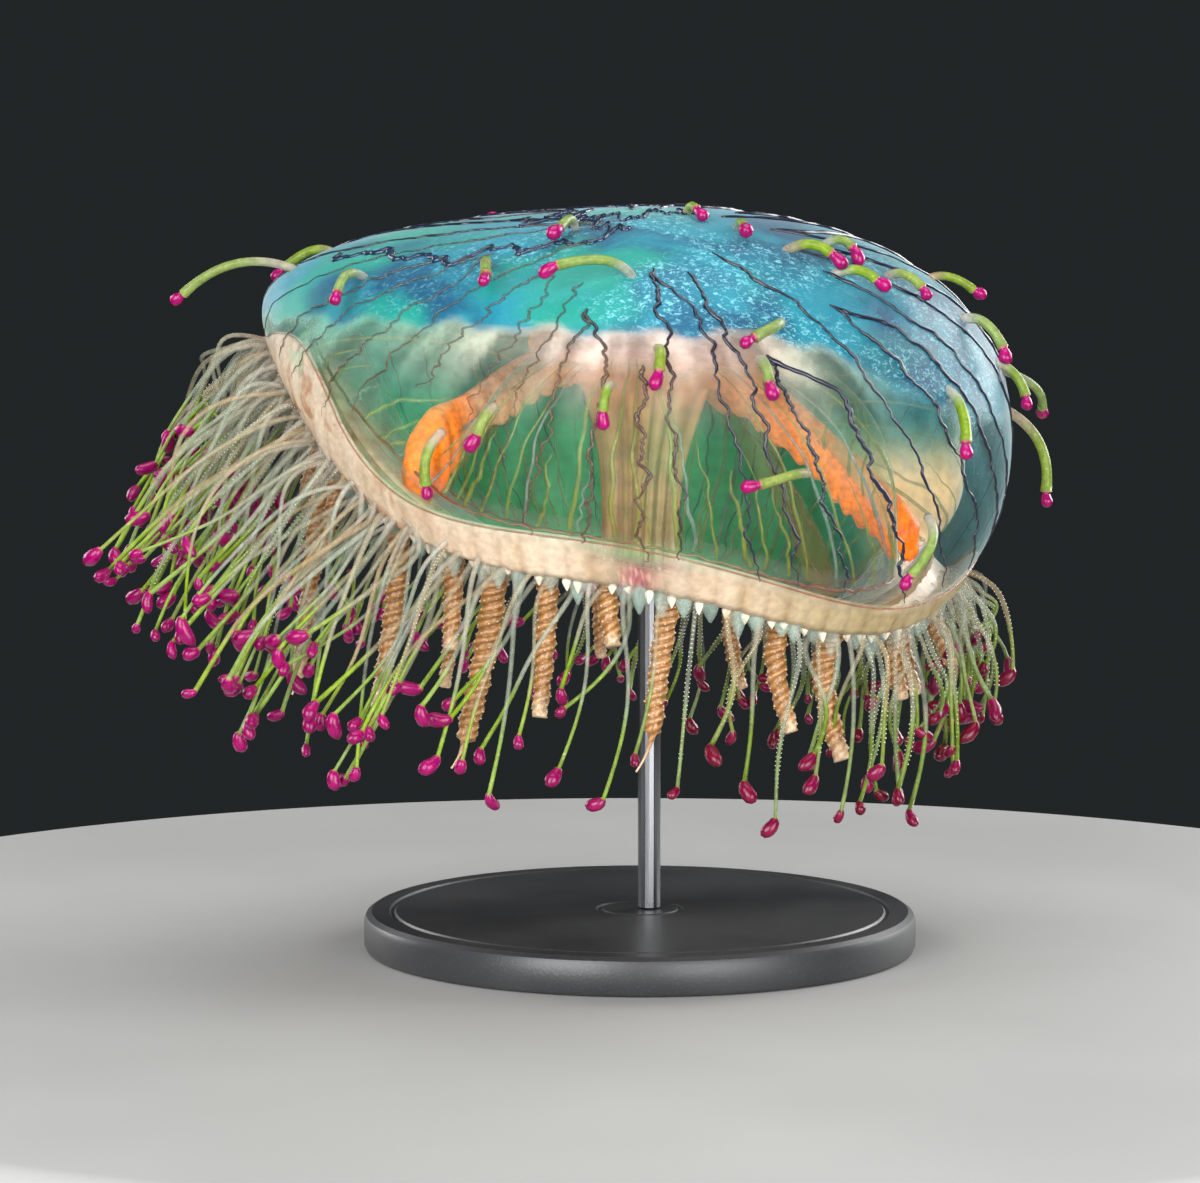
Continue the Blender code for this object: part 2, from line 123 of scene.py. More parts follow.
# The nettle band
NETTLE_CELLS = 96
CELL_COLUMNS = 11
NETTLE_TOP = 0.942  # share of the outer face where the band begins
NETTLE_WIDER = 0.026  # and how much higher that is in the middle of the near side
NETTLE_MIDDLE = radians(256)
NETTLE_SPREAD = radians(34)
CORNER_WIDER = 0.19  # and in the near corner of the high side
CORNER_MIDDLE = radians(208)
CORNER_SPREAD = radians(15)

# Fine tentacles
CAD_FINE = 64  # in the solids
MORE_FINE = 280
FINE_REACH = (4.0, 20.0, 9.0)  # everywhere, and more on the high and the low side
FINE_DROP = (21.0, 16.0, 9.0)  # everywhere, and more round the long and the low angle
FINE_LONG_ANGLE = radians(215)
FINE_LOW_ANGLE = radians(315)
FINE_DRIFT = -3.5
FINE_SPREAD = 1.2
HIGH_ANGLE = radians(190)
SWEEP_ANGLE = radians(214)
SWEEP_FURTHER = 0.7
SWEEP_LEAN = 0.7  # how much these turn towards the high side
LEAN_ANGLE = radians(240)
LEAN_REACH = 13.0  # how far the tips near this angle drift towards the high side
STALK_STEPS = 20
BULB_RADIUS = 1.08
BULB_LENGTH = 3.6
BULB_SHARES = np.array([0.0, 0.10, 0.26, 0.45, 0.64, 0.80, 0.92, 1.0])
BULB_WIDTHS = np.array([0.36, 0.58, 0.78, 0.94, 1.00, 0.92, 0.62, 0.10])
BEAD_ROWS = 2
BEAD_SIDES = 12
BEAD_TWIST = 30.0  # length of stalk to one turn of a row of beads

# Short tentacles of the outer face: angle, share, length, and heading from straight down
EXUMBRELLA_TENTACLES = (
    (212, 0.50, 9, -30), (188, 0.60, 20, 5), (250, 0.24, 7, 0), (237, 0.39, 11, -35),
    (268, 0.41, 13, 75), (240, 0.78, 9, 5), (248, 0.72, 5, 20), (265, 0.66, 5, 10),
    (272, 0.58, 5, 0), (293, 0.50, 10, 55), (288, 0.58, 5, 0), (294, 0.76, 11, 85),
    (324, 0.62, 12, 30), (317, 0.80, 13, 50), (290, 0.14, 5, 0), (300, 0.22, 5, 20),
    (306, 0.30, 8, -30), (312, 0.37, 7, -40), (322, 0.28, 6, 0), (328, 0.38, 7, 0),
    (342, 0.50, 9, 10), (352, 0.40, 8, -10), (349, 0.60, 8, 10), (352, 0.62, 13, -40),
    (1, 0.70, 16, 10), (25, 0.56, 12, 0), (50, 0.70, 12, 20), (70, 0.38, 9, -20),
    (95, 0.60, 12, 0), (120, 0.38, 10, 20), (138, 0.36, 9, 180), (151, 0.64, 12, -10),
    (165, 0.50, 12, 0),
)  # fmt: skip
ROOT_DEPTH = 0.54

# Primary tentacles: angle, length, thickness, and the tip's drift to +X and to the near side
PRIMARIES = (
    (22, 17, 0.9, 1, 2), (70, 15, 0.9, 1, 0), (97, 15, 0.85, 0, 1), (126, 26, 0.9, -2, 0),
    (160, 30, 0.9, -4, 1), (171, 22, 0.8, -1, 0), (197, 52, 1.0, -3, -2), (208, 20, 0.9, -2, -1),
    (226, 30, 1.0, -3, -1), (237, 16, 0.9, 0, 0), (245, 34, 1.15, -6, -1), (254, 22, 1.0, -1, -1),
    (264, 10, 1.0, 1, 1), (275, 30, 1.0, -4, 0), (295, 17, 1.0, 1, 0), (306, 20, 1.1, 1, 0),
    (325, 13, 1.0, 0, 0), (350, 15, 0.9, 2, 0),
)  # fmt: skip
PRIMARY_RADIUS = 1.8
PRIMARY_SIDES = 18
COILS = 3  # strands that wind round each one
COIL_PITCH = 1.25
COIL_RINGS = 5.6  # rings of points to the millimetre
COIL_SPOKES = 24
COIL_BEAD_SPACING = 0.5
TAILS = {11: 4.5, 14: 6.0, 7: 3.0}  # thin ends of some primaries
TAIL_INSIDE = 0.9  # how much of a thin end lies inside the primary's own length
TAIL_STEPS = 18

# The manubrium
MANUBRIUM_TOP_RADIUS = 10.5
MANUBRIUM_WAIST_RADIUS = 7.0
MOUTH_RADIUS = 7.5
MOUTH_LEVEL = -4.6
MANUBRIUM_SPLIT = 0.62
MANUBRIUM_TAPER = 1.8
FLARE_START = 0.8
MANUBRIUM_SHIFT = -1.0
TENT_SPREAD = 9.5  # how much wider the stomach's top is where it hangs from the ceiling
TENT_SHARE = 0.26
STOMACH_LOBES = 0.16
LIP_LOBES = 0.34
STOMACH_GAP = 0.6
MANUBRIUM_FULLNESS = 1.08
THREADS = (  # on the stomach: the middle angle, the turn and the reach of each bunch
    (258, 0.0, 0.35),
    (272, 0.4, 0.30),
    (285, -0.3, 0.35),
    (240, 0.2, 0.30),
)

# The gonads
GONAD_DEPTH = 10.0
GONAD_RISE = 4.2  # how much of it lies above the canal
GONAD_HALF = 2.3
GONAD_END = 0.965
GONAD_GAP = 0.4
# For each canal: size, swell, more swell near the end, over what share, where the orange begins and
# is full, how far the end turns in from the wall, and whether it is pale, as on the far side
GONADS = (
    (1.0, 0.72, 0.28, 0.16, 0.0, 0.5, 0.0, True),
    (1.0, 0.72, 0.28, 0.16, 0.0, 0.5, 0.0, True),
    (1.35, 0.60, 0.40, 0.13, 0.56, 0.74, 0.0, False),
    (1.3, 0.74, 0.30, 0.20, 0.0, 0.5, 0.38, False),
)

# The stand's turned base, the floor and the lamps
BASE_GROOVE = ((5.9, 0.0), (6.2, 0.2), (6.7, 0.2), (7.0, 0.0))  # radius, and depth below the top
BASE_EDGE = (  # inward from the rim, and depth below the top
    (5.1, 0.0), (4.8, 0.3), (4.3, 0.3), (4.0, 0.0), (1.2, 0.0), (0.35, 0.55), (0.0, 1.4),
)  # fmt: skip
BASE_FOOT = ((0.0, 0.9), (0.3, 0.25), (1.2, 0.0))  # inward from the rim, and height
FLOOR_PROFILE = ((0, 0), (166, 0), (169, -0.8), (170, -3), (169, -12), (0, -12))  # radius, height
LAMPS = (  # name, place in metres, power and size
    ("key", (-0.5, -0.85, 0.34), 14, 0.7),
    ("front", (0.5, -0.9, 0.14), 13, 0.7),
    ("top", (0.05, 0.0, 0.9), 5, 0.7),
    ("back_right", (0.65, 0.5, 0.35), 8, 0.5),
    ("back_left", (-0.65, 0.5, 0.3), 3.5, 0.5),
)
LAMP_TARGET = (0.0, 0.0, 0.07)

# Colours of the umbrella
DEEP_BLUE = (0.002, 0.080, 0.170)
SKY_BLUE = (0.010, 0.240, 0.330)
TEAL = (0.006, 0.290, 0.230)
FROST = (0.24, 0.66, 0.76)
# the pale colour painted on the rim of the bell as a highlight
RIM_HIGHLIGHT_WHITE = (0.74, 0.90, 0.92)
FAR_TEAL = (0.012, 0.420, 0.330)
FAR_GREEN = (0.020, 0.440, 0.100)
WINDOW_GREEN = (0.13, 0.50, 0.25)
HAZE_WHITE = (0.90, 0.72, 0.62)
HAZE_GREEN = (0.10, 0.60, 0.26)
HAZE_BLUE = (0.09, 0.38, 0.45)
HAZE_TEAL = (0.05, 0.56, 0.40)
PEACH = (0.86, 0.58, 0.25)
VEIL = (1.0, 0.42, 0.27)
CREAM = (0.78, 0.61, 0.41)
LIP_CREAM = (0.7176, 0.549, 0.3526)
LIP_BROWN = (0.50, 0.28, 0.15)
VELUM_GREY = (0.50, 0.54, 0.46)
CELL_TROUGH_SHADE = (0.44, 0.30, 0.18)
CELL_CREAM = (0.61, 0.46, 0.31)
PUFF_AND_GLINT_WHITE = (0.86, 0.76, 0.64)
BLOTCH_TAN = (0.38, 0.17, 0.07)
LOW_SIDE_SHADE = (0.64, 0.63, 0.46)
TOOTH_WHITE = (0.92, 0.80, 0.62)
LAPPET_GREY = (0.45, 0.58, 0.50)
BROWN_RED = (0.24, 0.045, 0.02)
BAND_EDGE_RED = (0.42, 0.12, 0.07)
NAVY = (0.004, 0.006, 0.022)
CREASE_SHADE_BLUE = (0.004, 0.020, 0.055)
FAINT_GREY = (0.07, 0.075, 0.06)
DARK_BROWN = (0.10, 0.045, 0.025)
OLIVE = (0.23, 0.24, 0.035)
CANAL_GREY = (0.16, 0.20, 0.24)

# Colours of the manubrium and the gonads
PLEAT_BROWN = (0.28, 0.11, 0.035)
PLEAT_PEACH = (0.58, 0.32, 0.14)
STOMACH_PEACH = (1.0, 0.44, 0.20)
MOUTH_RED = (0.36, 0.0, 0.07)
MOUTH_PINK = (0.85, 0.34, 0.30)
CANAL_RED = (0.34, 0.06, 0.03)
THREAD_RED = (0.42, 0.03, 0.02)
GONAD_PEACH = (1.0, 0.50, 0.26)
ORANGE = (1.0, 0.20, 0.0)
WRINKLE_RED = (0.80, 0.12, 0.01)
FAR_YELLOW = (0.78, 0.56, 0.12)

# Colours of the tentacles
MAGENTA = (0.26, 0.0, 0.088)
SHORT_MAGENTA = (0.312, 0.0, 0.1056)
CRIMSON = (0.12, 0.0, 0.012)
LIME = (0.23, 0.37, 0.0)
STALK = (0.34, 0.39, 0.30)
SPECKLE = (0.72, 0.76, 0.52)
ROOT_BEIGE = (0.50, 0.46, 0.39)
STALK_TAN = (0.42, 0.27, 0.11)
FINE_BEAD = (0.62, 0.64, 0.46)
SHORT_BEAD = (0.66, 0.72, 0.50)
COIL_BEAD = (0.66, 0.48, 0.26)
COIL_GROOVE_SHADE = (0.17, 0.065, 0.015)
TAN = (0.30, 0.125, 0.030)
COIL_CREST_LIGHT = (0.42, 0.22, 0.075)


# Small helpers


def smooth(value, low, high):
    """0 below low, 1 above high, and a smooth step between them."""
    share = np.clip((value - low) / (high - low), 0.0, 1.0)
    return share * share * (3 - 2 * share)


def hill(value, middle, width):
    """1 at the middle, and softly down to 0 on both sides of it."""
    return exp(-(((value - middle) / width) ** 2))


def apart(angle, middle):
    """The turn from the middle to the angle, the short way round."""
    return (angle - middle + pi) % TURN - pi


def lobe(angle, middle, power=1.0):
    """1 at the middle, and down to 0 a quarter turn either side of it."""
    return maximum(0.0, cos(angle - middle)) ** power


def round_turn(count):
    """Evenly spaced angles, once round."""
    return TURN * arange(count) / count


def between(first, second, share):
    """Numbers or points between two others."""
    return first + (second - first) * share


def blend(first, second, share):
    """Colours between two colours."""
    share = np.asarray(share, float)[..., None]
    return np.asarray(first) * (1 - share) + np.asarray(second) * share


def unit(vectors):
    """The same directions, with length 1."""
    return vectors / maximum(np.linalg.norm(vectors, axis=-1, keepdims=True), 1e-9)


def points(x, y, z):
    return np.stack(np.broadcast_arrays(x, y, z), axis=-1).astype(float)


def bezier(controls, shares):
    """Points on the curves that the control points, each of shape (n, 3), steer: (n, k, 3)."""
    levels = [control[:, None] for control in controls]
    while len(levels) > 1:
        levels = [between(a, b, shares[:, None]) for a, b in zip(levels, levels[1:])]
    return levels[0]


def distances(path):
    """How far along the path each of its points lies."""
    return np.concatenate([[0], np.cumsum(np.linalg.norm(np.diff(path, axis=0), axis=1))])


def halving(holds, like, highest, times):
    """The shares below the highest up to which the test holds, found by halving."""
    low, high = np.zeros_like(like), np.full_like(like, highest)
    for _ in range(times):
        middle = (low + high) / 2
        held = holds(middle)
        low, high = np.where(held, middle, low), np.where(held, high, middle)
    return low


def scattered(count, loose):
    """Even shares of a turn, each moved on by up to this part of a step."""
    return (arange(count) + loose * draw(count)) / count


def tossed(count, shape):
    """A random direction for each of some lines, times this shape along the line."""
    return shape[:, None] * (draw((count, 1, 3)) - 0.5)


def wandering(count, steps, size, finer=1.0):
    """Soft sideways waves for each of some lines."""
    waves = 0.0
    along = finer * linspace(0, 1, steps)
    for order, weight in ((2.3, 1.0), (5.1, 0.7), (9.7, 0.5), (17.0, 0.25)):
        phase = draw((count, 1))
        stretch = 0.8 + 0.4 * draw((count, 1))
        waves = waves + weight * sin(TURN * (order * stretch * along + phase))
    return size * waves


# The body's formulas


def ring_height(angle):
    """The height of the margin, which waves round the umbrella."""
    waves = sum(size * cos(order * angle) for order, size in enumerate(RING_WAVES))
    return RING_LEVEL + waves + RING_PITCH * sin(angle)


def ring_radius(angle):
    return RING_RADIUS + RING_SHIFT * cos(angle)


def steepness(angle):
    """How much longer the margin is than its shadow on the floor."""
    small = 0.01
    climb = (ring_height(angle + small) - ring_height(angle - small)) / (2 * small)
    return np.hypot(1, climb / ring_radius(angle))


def ring_point(angle, inward, above):
    """A point this far inward from the margin and above it."""
    radius = ring_radius(angle) - inward
    height = ring_height(angle) + above * steepness(angle)
    return points(radius * cos(angle), radius * sin(angle), height)


def superellipse(turn, exponent):
    """How far across and up a rounded square curve lies, this turn from its top."""
    across = np.abs(sin(turn)) ** (2 / exponent)
    up = np.copysign(np.abs(cos(turn)) ** (2 / exponent), cos(turn))
    return across, up


def dome_shares(share, turn, exponent):
    """For a share of a dome: how far across, plain and as a part of the lip's, and how far up."""
    across, up = superellipse(share * turn, exponent)
    widest, lowest = superellipse(turn, exponent)
    return across, across / widest, (up - lowest) / (1 - lowest)


def outer_point(angle, share):
    """A point of the outer face."""
    turn = BELL_TURN + BELL_TURN_SHIFT * cos(angle)
    plain, across, up = dome_shares(share, turn, BELL_SQUARE)
    radius = (ring_radius(angle) + LIP_OUT) * across
    lip = ring_height(angle) - LIP_DROP * steepness(angle)
    top = RING_LEVEL + BELL_TOP - BELL_ROLL * plain * lobe(angle, pi)
    return points(radius * cos(angle), radius * sin(angle) + BELL_LEAN * up, between(lip, top, up))


def canal_nearness(angle):
    """1 at a radial canal, and 0 far from it."""
    canals = radians(CANAL_ANGLES)
    return maximum.reduce([hill(apart(angle, canal), 0, CANAL_SPREAD) for canal in canals])


def inner_point(angle, share):
    """A point of the inner face, which dips between the radial canals."""
    turn = CAVITY_TURN + CAVITY_TURN_SHIFT * cos(angle)
    _, across, up = dome_shares(share, turn, CAVITY_SQUARE)
    canal = CANAL_DEPTH * canal_nearness(angle)
    across = between(across, share, canal)
    up = between(up, 1 - share**CANAL_BULGE, canal)
    radius = (ring_radius(angle) - RING_INWARD) * across
    top = RING_LEVEL + CAVITY_TOP + CAVITY_LIFT * across * lobe(angle, pi)
    height = between(ring_height(angle), top, up)
    return points(radius * cos(angle), radius * sin(angle) + CAVITY_LEAN * up, height)


def face_normal(place, angle, share):
    """The outward normal at points of a face."""
    small = 0.01
    down = place(angle, share + small) - place(angle, share - small)
    around = place(angle + small, share) - place(angle - small, share)
    return unit(np.cross(down, around))


# Meshes


def linked(name, data):
    """A new object in the scene."""
    made = bpy.data.objects.new(name, data)
    bpy.context.scene.collection.objects.link(made)
    return made


class Mesh:
    """Surfaces gathered into one mesh, with a colour, an alpha and a mark at each point."""

    def __init__(self):
        self.points, self.tints, self.alphas, self.marks, self.faces = [], [], [], [], []
        self.count = 0

    def add(self, place, faces, tint, alpha=1.0, mark=0.0):
        """Faces are arrays of indices into place. Mark is a free share that a material may read."""
        self.points.append(place.reshape(-1, 3))
        self.tints.append(np.broadcast_to(tint, place.shape).reshape(-1, 3))
        self.alphas.append(np.broadcast_to(alpha, place.shape[:-1]).ravel())
        self.marks.append(np.broadcast_to(mark, place.shape[:-1]).ravel())
        self.faces += [group + self.count for group in faces]
        self.count += place.size // 3

    def rings(self, place, tint, alpha=1.0, mark=0.0, ends=True):
        """Adds grids of points (..., rows, columns, 3) with rows for rings, and closes the ends."""
        rows, columns = place.shape[-3:-1]
        column = arange(columns)
        following = (column + 1) % columns
        strip = np.stack([column, following, columns + following, columns + column], axis=-1)
        quads = strip + columns * arange(rows - 1)[:, None, None]
        caps = np.stack([column[::-1], (rows - 1) * columns + column])
        starts = arange(0, place.size // 3, rows * columns)[:, None, None]
        faces = [(quads.reshape(-1, 4) + starts).reshape(-1, 4)]
        if ends:
            faces.append((caps + starts).reshape(-1, columns))
        self.add(place, faces, tint, alpha, mark)

    def build(self, name, material):
        """The finished object."""
        mesh = bpy.data.meshes.new(name)
        place = np.concatenate(self.points) * MM
        sizes = np.concatenate([np.full(len(group), group.shape[1]) for group in self.faces])
        corners = np.concatenate([group.ravel() for group in self.faces])
        mesh.vertices.add(len(place))
        mesh.vertices.foreach_set("co", place.ravel().astype(np.float32))
        mesh.loops.add(len(corners))
        mesh.loops.foreach_set("vertex_index", corners.astype(np.int32))
        mesh.polygons.add(len(sizes))
        mesh.polygons.foreach_set("loop_start", (np.cumsum(sizes) - sizes).astype(np.int32))
        mesh.update(calc_edges=True)
        mesh.validate()
        mesh.shade_smooth()
        tints = np.pad(np.concatenate(self.tints), ((0, 0), (0, 1)), constant_values=1.0)
        for label, kind, field, values in (
            ("tint", "FLOAT_COLOR", "color", tints),
            ("alpha", "FLOAT", "value", np.concatenate(self.alphas)),
            ("mark", "FLOAT", "value", np.concatenate(self.marks)),
        ):
            attribute = mesh.attributes.new(label, kind, "POINT")
            attribute.data.foreach_set(field, values.ravel().astype(np.float32))
        mesh.materials.append(material)
        return linked(name, mesh)

    def piece(self, name, material, slot, replaced=()):
        """The finished object, which rides on the part and stands for these nodes."""
        body = self.build(name, material)
        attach(body, "root")
        if replaced:
            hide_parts(*replaced)
        return body


def tube_points(paths, radii, sides):
    """Rings of points along many paths (n, k, 3), which don't twist: (n, k, sides, 3)."""
    tangents = unit(np.gradient(paths, axis=1))
    toward = np.array([0.31, 0.95, 0.1])
    across = np.empty_like(paths)
    for i in range(paths.shape[1]):
        axis = tangents[:, i]
        toward = unit(toward - axis * (toward * axis).sum(-1, keepdims=True))
        across[:, i] = toward
    turn = round_turn(sides)[:, None]
    circle = across[:, :, None] * cos(turn) + np.cross(tangents, across)[:, :, None] * sin(turn)
    return paths[:, :, None] + circle * np.broadcast_to(radii, paths.shape[:2])[:, :, None, None]


def tubes(mesh, paths, radii, sides, tint, alpha=1.0, mark=0.0):
    """Adds tubes whose ends are closed. Tint, alpha and mark may vary with tube and ring."""
    tint = np.broadcast_to(tint, paths.shape)[:, :, None]
    alpha, mark = (np.broadcast_to(value, paths.shape[:2])[:, :, None] for value in (alpha, mark))
    mesh.rings(tube_points(paths, radii, sides), tint, alpha, mark)


def lines_on(mesh, place, angle, share, above, radii, sides, tint, alpha):
    """Adds tubes that follow a face this far above it."""
    paths = place(angle, share) + face_normal(place, angle, share) * above
    tubes(mesh, paths, radii, sides, tint, alpha)


OCTAHEDRON = np.array([(1, 0, 0), (-1, 0, 0), (0, 1, 0), (0, -1, 0), (0, 0, 1), (0, 0, -1)])
OCTAHEDRON_FACES = np.array(
    [(0, 2, 4), (2, 1, 4), (1, 3, 4), (3, 0, 4), (2, 0, 5), (1, 2, 5), (3, 1, 5), (0, 3, 5)]
)


def beads(mesh, centres, sizes, tint):
    """Adds a small bead at each centre."""
    place = centres[:, None] + OCTAHEDRON * sizes[:, None, None]
    faces = OCTAHEDRON_FACES + len(OCTAHEDRON) * arange(len(centres))[:, None, None]
    mesh.add(place, [faces.reshape(-1, 3)], tint, 0.95)


def turned(profile, columns):
    """Rings of points round Z that follow a profile of radii and heights from the top down."""
    radius, height = np.transpose(profile)[:, :, None]
    turn = round_turn(columns)
    return points(radius * cos(turn), radius * sin(turn), height)


# Materials


class Tree:
    """A material's nodes round one Principled shader."""

    def __init__(self, name, **plain):
        self.material = bpy.data.materials.new(name)
        self.material.use_nodes = True
        self.tree = self.material.node_tree
        self.shader = self.tree.nodes["Principled BSDF"]
        for socket, value in plain.items():
            self.shade(socket.replace("_", " "), value)

    def put(self, socket, value):
        if isinstance(value, bpy.types.NodeSocket):
            self.tree.links.new(value, socket)
        else:
            socket.default_value = value

    def shade(self, socket, value):
        self.put(self.shader.inputs[socket], value)

    def add(self, kind, inputs, output=0, **settings):
        made = self.tree.nodes.new("ShaderNode" + kind)
        for setting, value in settings.items():
            setattr(made, setting, value)
        for socket, value in inputs.items():
            self.put(made.inputs[socket], value)
        return made.outputs[output]

    def attribute(self, name):
        """A mesh's own colour, or its own number."""
        output = "Color" if name == "tint" else "Fac"
        return self.add("Attribute", {}, output, attribute_name=name)

    def place(self):
        return self.add("TexCoord", {}, "Object")

    def axis(self, name):
        """One coordinate of the point, in metres."""
        return self.add("SeparateXYZ", {0: self.place()}, name)

    def noise(self, scale, detail=2.0, stretch=(1, 1, 1), roughness=0.5, distortion=0.0):
        """Cloudy noise, with its scale in features to the metre."""
        point = self.add("VectorMath", {0: self.place(), 1: stretch}, operation="MULTIPLY")
        inputs = dict(Vector=point, Scale=scale, Detail=detail)
        inputs.update(Roughness=roughness, Distortion=distortion)
        return self.add("TexNoise", inputs, "Fac")

    def range(self, value, low, high, to_low=0.0, to_high=1.0):
        inputs = {"Value": value, "From Min": low, "From Max": high}
        inputs.update({"To Min": to_low, "To Max": to_high})
        return self.add("MapRange", inputs, interpolation_type="SMOOTHSTEP")

    def math(self, operation, first, second, clamp=False):
        return self.add("Math", {0: first, 1: second}, operation=operation, use_clamp=clamp)

    def times(self, first, second):
        return self.math("MULTIPLY", first, second)

    def mix(self, share, first, second, way="MIX"):
        colours = {6: first, 7: second}
        inputs = {i: (*c, 1.0) if isinstance(c, tuple) else c for i, c in colours.items()}
        return self.add("Mix", {0: share, **inputs}, 2, data_type="RGBA", blend_type=way)

    def cloudy(self, noise, first, second):
        """One colour clouding over into another."""
        return self.mix(self.range(noise, 0.3, 0.7), first, second)

    def grained(self, tint, noise, darkest, palest):
        """A colour that noise makes darker and paler."""
        return self.mix(1.0, tint, self.range(noise, 0.3, 0.7, darkest, palest), "MULTIPLY")

    def bump(self, height, strength, distance=0.0003):
        inputs = dict(Height=height, Strength=strength, Distance=distance)
        self.shade("Normal", self.add("Bump", inputs))


def skin_material():
    """Clear wet jelly. The mark is the share of the frosty blue crown."""
    tree = Tree("bell_jelly", Coat_Roughness=0.12, Specular_IOR_Level=0.35)
    blue = tree.mix(tree.range(tree.noise(62, 3, distortion=0.6), 0.40, 0.60), DEEP_BLUE, SKY_BLUE)
    greenish = tree.range(tree.noise(40, 2, (1, 1, 1.4)), 0.50, 0.64)
    greenish = tree.times(greenish, tree.range(tree.axis("X"), 0.0, 0.03, 1.0, 0.25))
    blue = tree.mix(greenish, blue, TEAL)
    fibres = tree.noise(1000, 4, (1, 1, 1.7), 0.7, 1.0)
    coverage = tree.range(tree.noise(46, 2, (1, 1, 2)), 0.42, 0.60, 0.08, 0.95)
    coverage = tree.times(coverage, tree.range(tree.axis("X"), -0.045, 0.0, 0.25, 1.0))
    blue = tree.mix(tree.times(tree.range(fibres, 0.50, 0.66), coverage), blue, FROST)
    blue = tree.mix(1.0, blue, tree.range(tree.axis("X"), 0.0, 0.05, 1.0, 0.70), "MULTIPLY")
    cap = tree.attribute("mark")
    tint = tree.mix(cap, tree.grained(tree.attribute("tint"), tree.noise(500, 3), 0.8, 1.15), blue)
    # the rim, where the surface turns away from the ray, is more solid, and its colour is whitened
    # there as a painted highlight
    rim = tree.math("POWER", tree.add("LayerWeight", {"Blend": 0.5}, "Facing"), 6.0)
    rim_highlight = tree.times(rim, tree.range(cap, 0.0, 1.0, 0.9, 0.4))
    tree.shade("Base Color", tree.mix(rim_highlight, tint, RIM_HIGHLIGHT_WHITE))
    alpha = tree.attribute("alpha")
    thicker = tree.times(tree.times(rim, tree.math("SUBTRACT", 1.0, alpha)), 0.9)
    tree.shade("Alpha", tree.math("ADD", alpha, thicker, True))
    tree.shade("Roughness", tree.range(cap, 0.0, 1.0, 0.3, 0.5))
    tree.shade("Coat Weight", tree.range(cap, 0.0, 1.0, 0.22, 0.06))
    tree.bump(fibres, 0.4)
    return tree.material


def flesh_material(name, roughness=0.3, grain=500, depth=0.25, bump=0.3, coat=0.4, gloss=0.5):
    """Wet flesh whose colour and alpha come from the mesh, with a fine grain."""
    tree = Tree(name, Roughness=roughness, Coat_Weight=coat, Coat_Roughness=0.15)
    tree.shade("Specular IOR Level", gloss)
    noise = tree.noise(grain, 3)
    tree.shade("Base Color", tree.grained(tree.attribute("tint"), noise, 1 - depth, 1 + depth))
    tree.shade("Alpha", tree.attribute("alpha"))
    tree.bump(noise, bump)
    return tree.material


def nettle_material():
    """Cream flesh, with tan blotches where the mark is high."""
    tree = Tree("nettle_cream", Roughness=0.5, Coat_Weight=0.08, Coat_Roughness=0.2)
    tree.shade("Specular IOR Level", 0.25)
    grain = tree.noise(900, 3)
    blotches = tree.range(tree.noise(190, 3, distortion=0.8), 0.49, 0.63)
    blotches = tree.times(tree.times(blotches, tree.attribute("mark")), 0.85)
    tint = tree.mix(blotches, tree.attribute("tint"), BLOTCH_TAN)
    tree.shade("Base Color", tree.grained(tint, grain, 0.88, 1.12))
    tree.shade("Alpha", tree.attribute("alpha"))
    tree.bump(grain, 0.3)
    return tree.material


def tentacle_material():
    """Clear, speckled stalks, and glossy bulbs where the mark is 1."""
    tree = Tree("tentacle_flesh", Coat_Roughness=0.06, Specular_IOR_Level=0.3)
    mark, alpha = tree.attribute("mark"), tree.attribute("alpha")
    speckle = tree.range(tree.noise(1800, 3), 0.56, 0.70)
    pale = tree.times(tree.times(speckle, tree.math("SUBTRACT", 1.0, mark)), 0.12)
    knobs = tree.noise(800, 2)
    tint = tree.mix(pale, tree.attribute("tint"), SPECKLE)
    tree.shade("Base Color", tree.grained(tint, knobs, 0.8, 1.15))
    tree.shade("Alpha", tree.math("ADD", alpha, tree.times(pale, 0.5), True))
    tree.shade("Roughness", tree.range(mark, 0.0, 1.0, 0.4, 0.3))
    tree.shade("Coat Weight", tree.range(mark, 0.0, 1.0, 0.06, 0.16))
    tree.bump(knobs, 0.35)
    return tree.material


def base_material():
    """Satin dark paint with a fine turned grain."""
    tree = Tree("stand_paint", Coat_Weight=0.15, Coat_Roughness=0.3)
    speckle, cloud = tree.noise(2600, 2), tree.noise(30, 2)
    tone = tree.cloudy(cloud, (0.020, 0.021, 0.024), (0.034, 0.035, 0.038))
    speckled = tree.range(speckle, 0.55, 0.75, 0, 0.35)
    tree.shade("Base Color", tree.mix(speckled, tone, (0.08, 0.08, 0.085)))
    tree.shade("Roughness", tree.range(cloud, 0.3, 0.7, 0.36, 0.5))
    tree.bump(speckle, 0.25, 0.0001)
    return tree.material


def rod_material():
    """Steel, brushed along its length."""
    tree = Tree("stand_steel", Metallic=1.0)
    lines = tree.noise(900, 3, (1, 1, 0.02))
    tree.shade("Base Color", tree.cloudy(lines, (0.12, 0.122, 0.13), (0.22, 0.225, 0.235)))
    tree.shade("Roughness", tree.range(lines, 0.3, 0.7, 0.2, 0.38))
    tree.bump(lines, 0.15, 0.00005)
    return tree.material


def floor_material():
    """Plain pale board."""
    tree = Tree("floor_pale", Roughness=0.6)
    tree.shade("Base Color", tree.cloudy(tree.noise(14, 2), (0.33, 0.33, 0.32), (0.36, 0.36, 0.35)))
    return tree.material


# The umbrella


def rounded(rows, times=2):
    """A strip of rows with its corners cut, whose ends stay."""
    for _ in range(times):
        cut = [between(*pair, part) for pair in zip(rows, rows[1:]) for part in (0.25, 0.75)]
        rows = [rows[0], *cut, rows[-1]]
    return np.stack(rows)


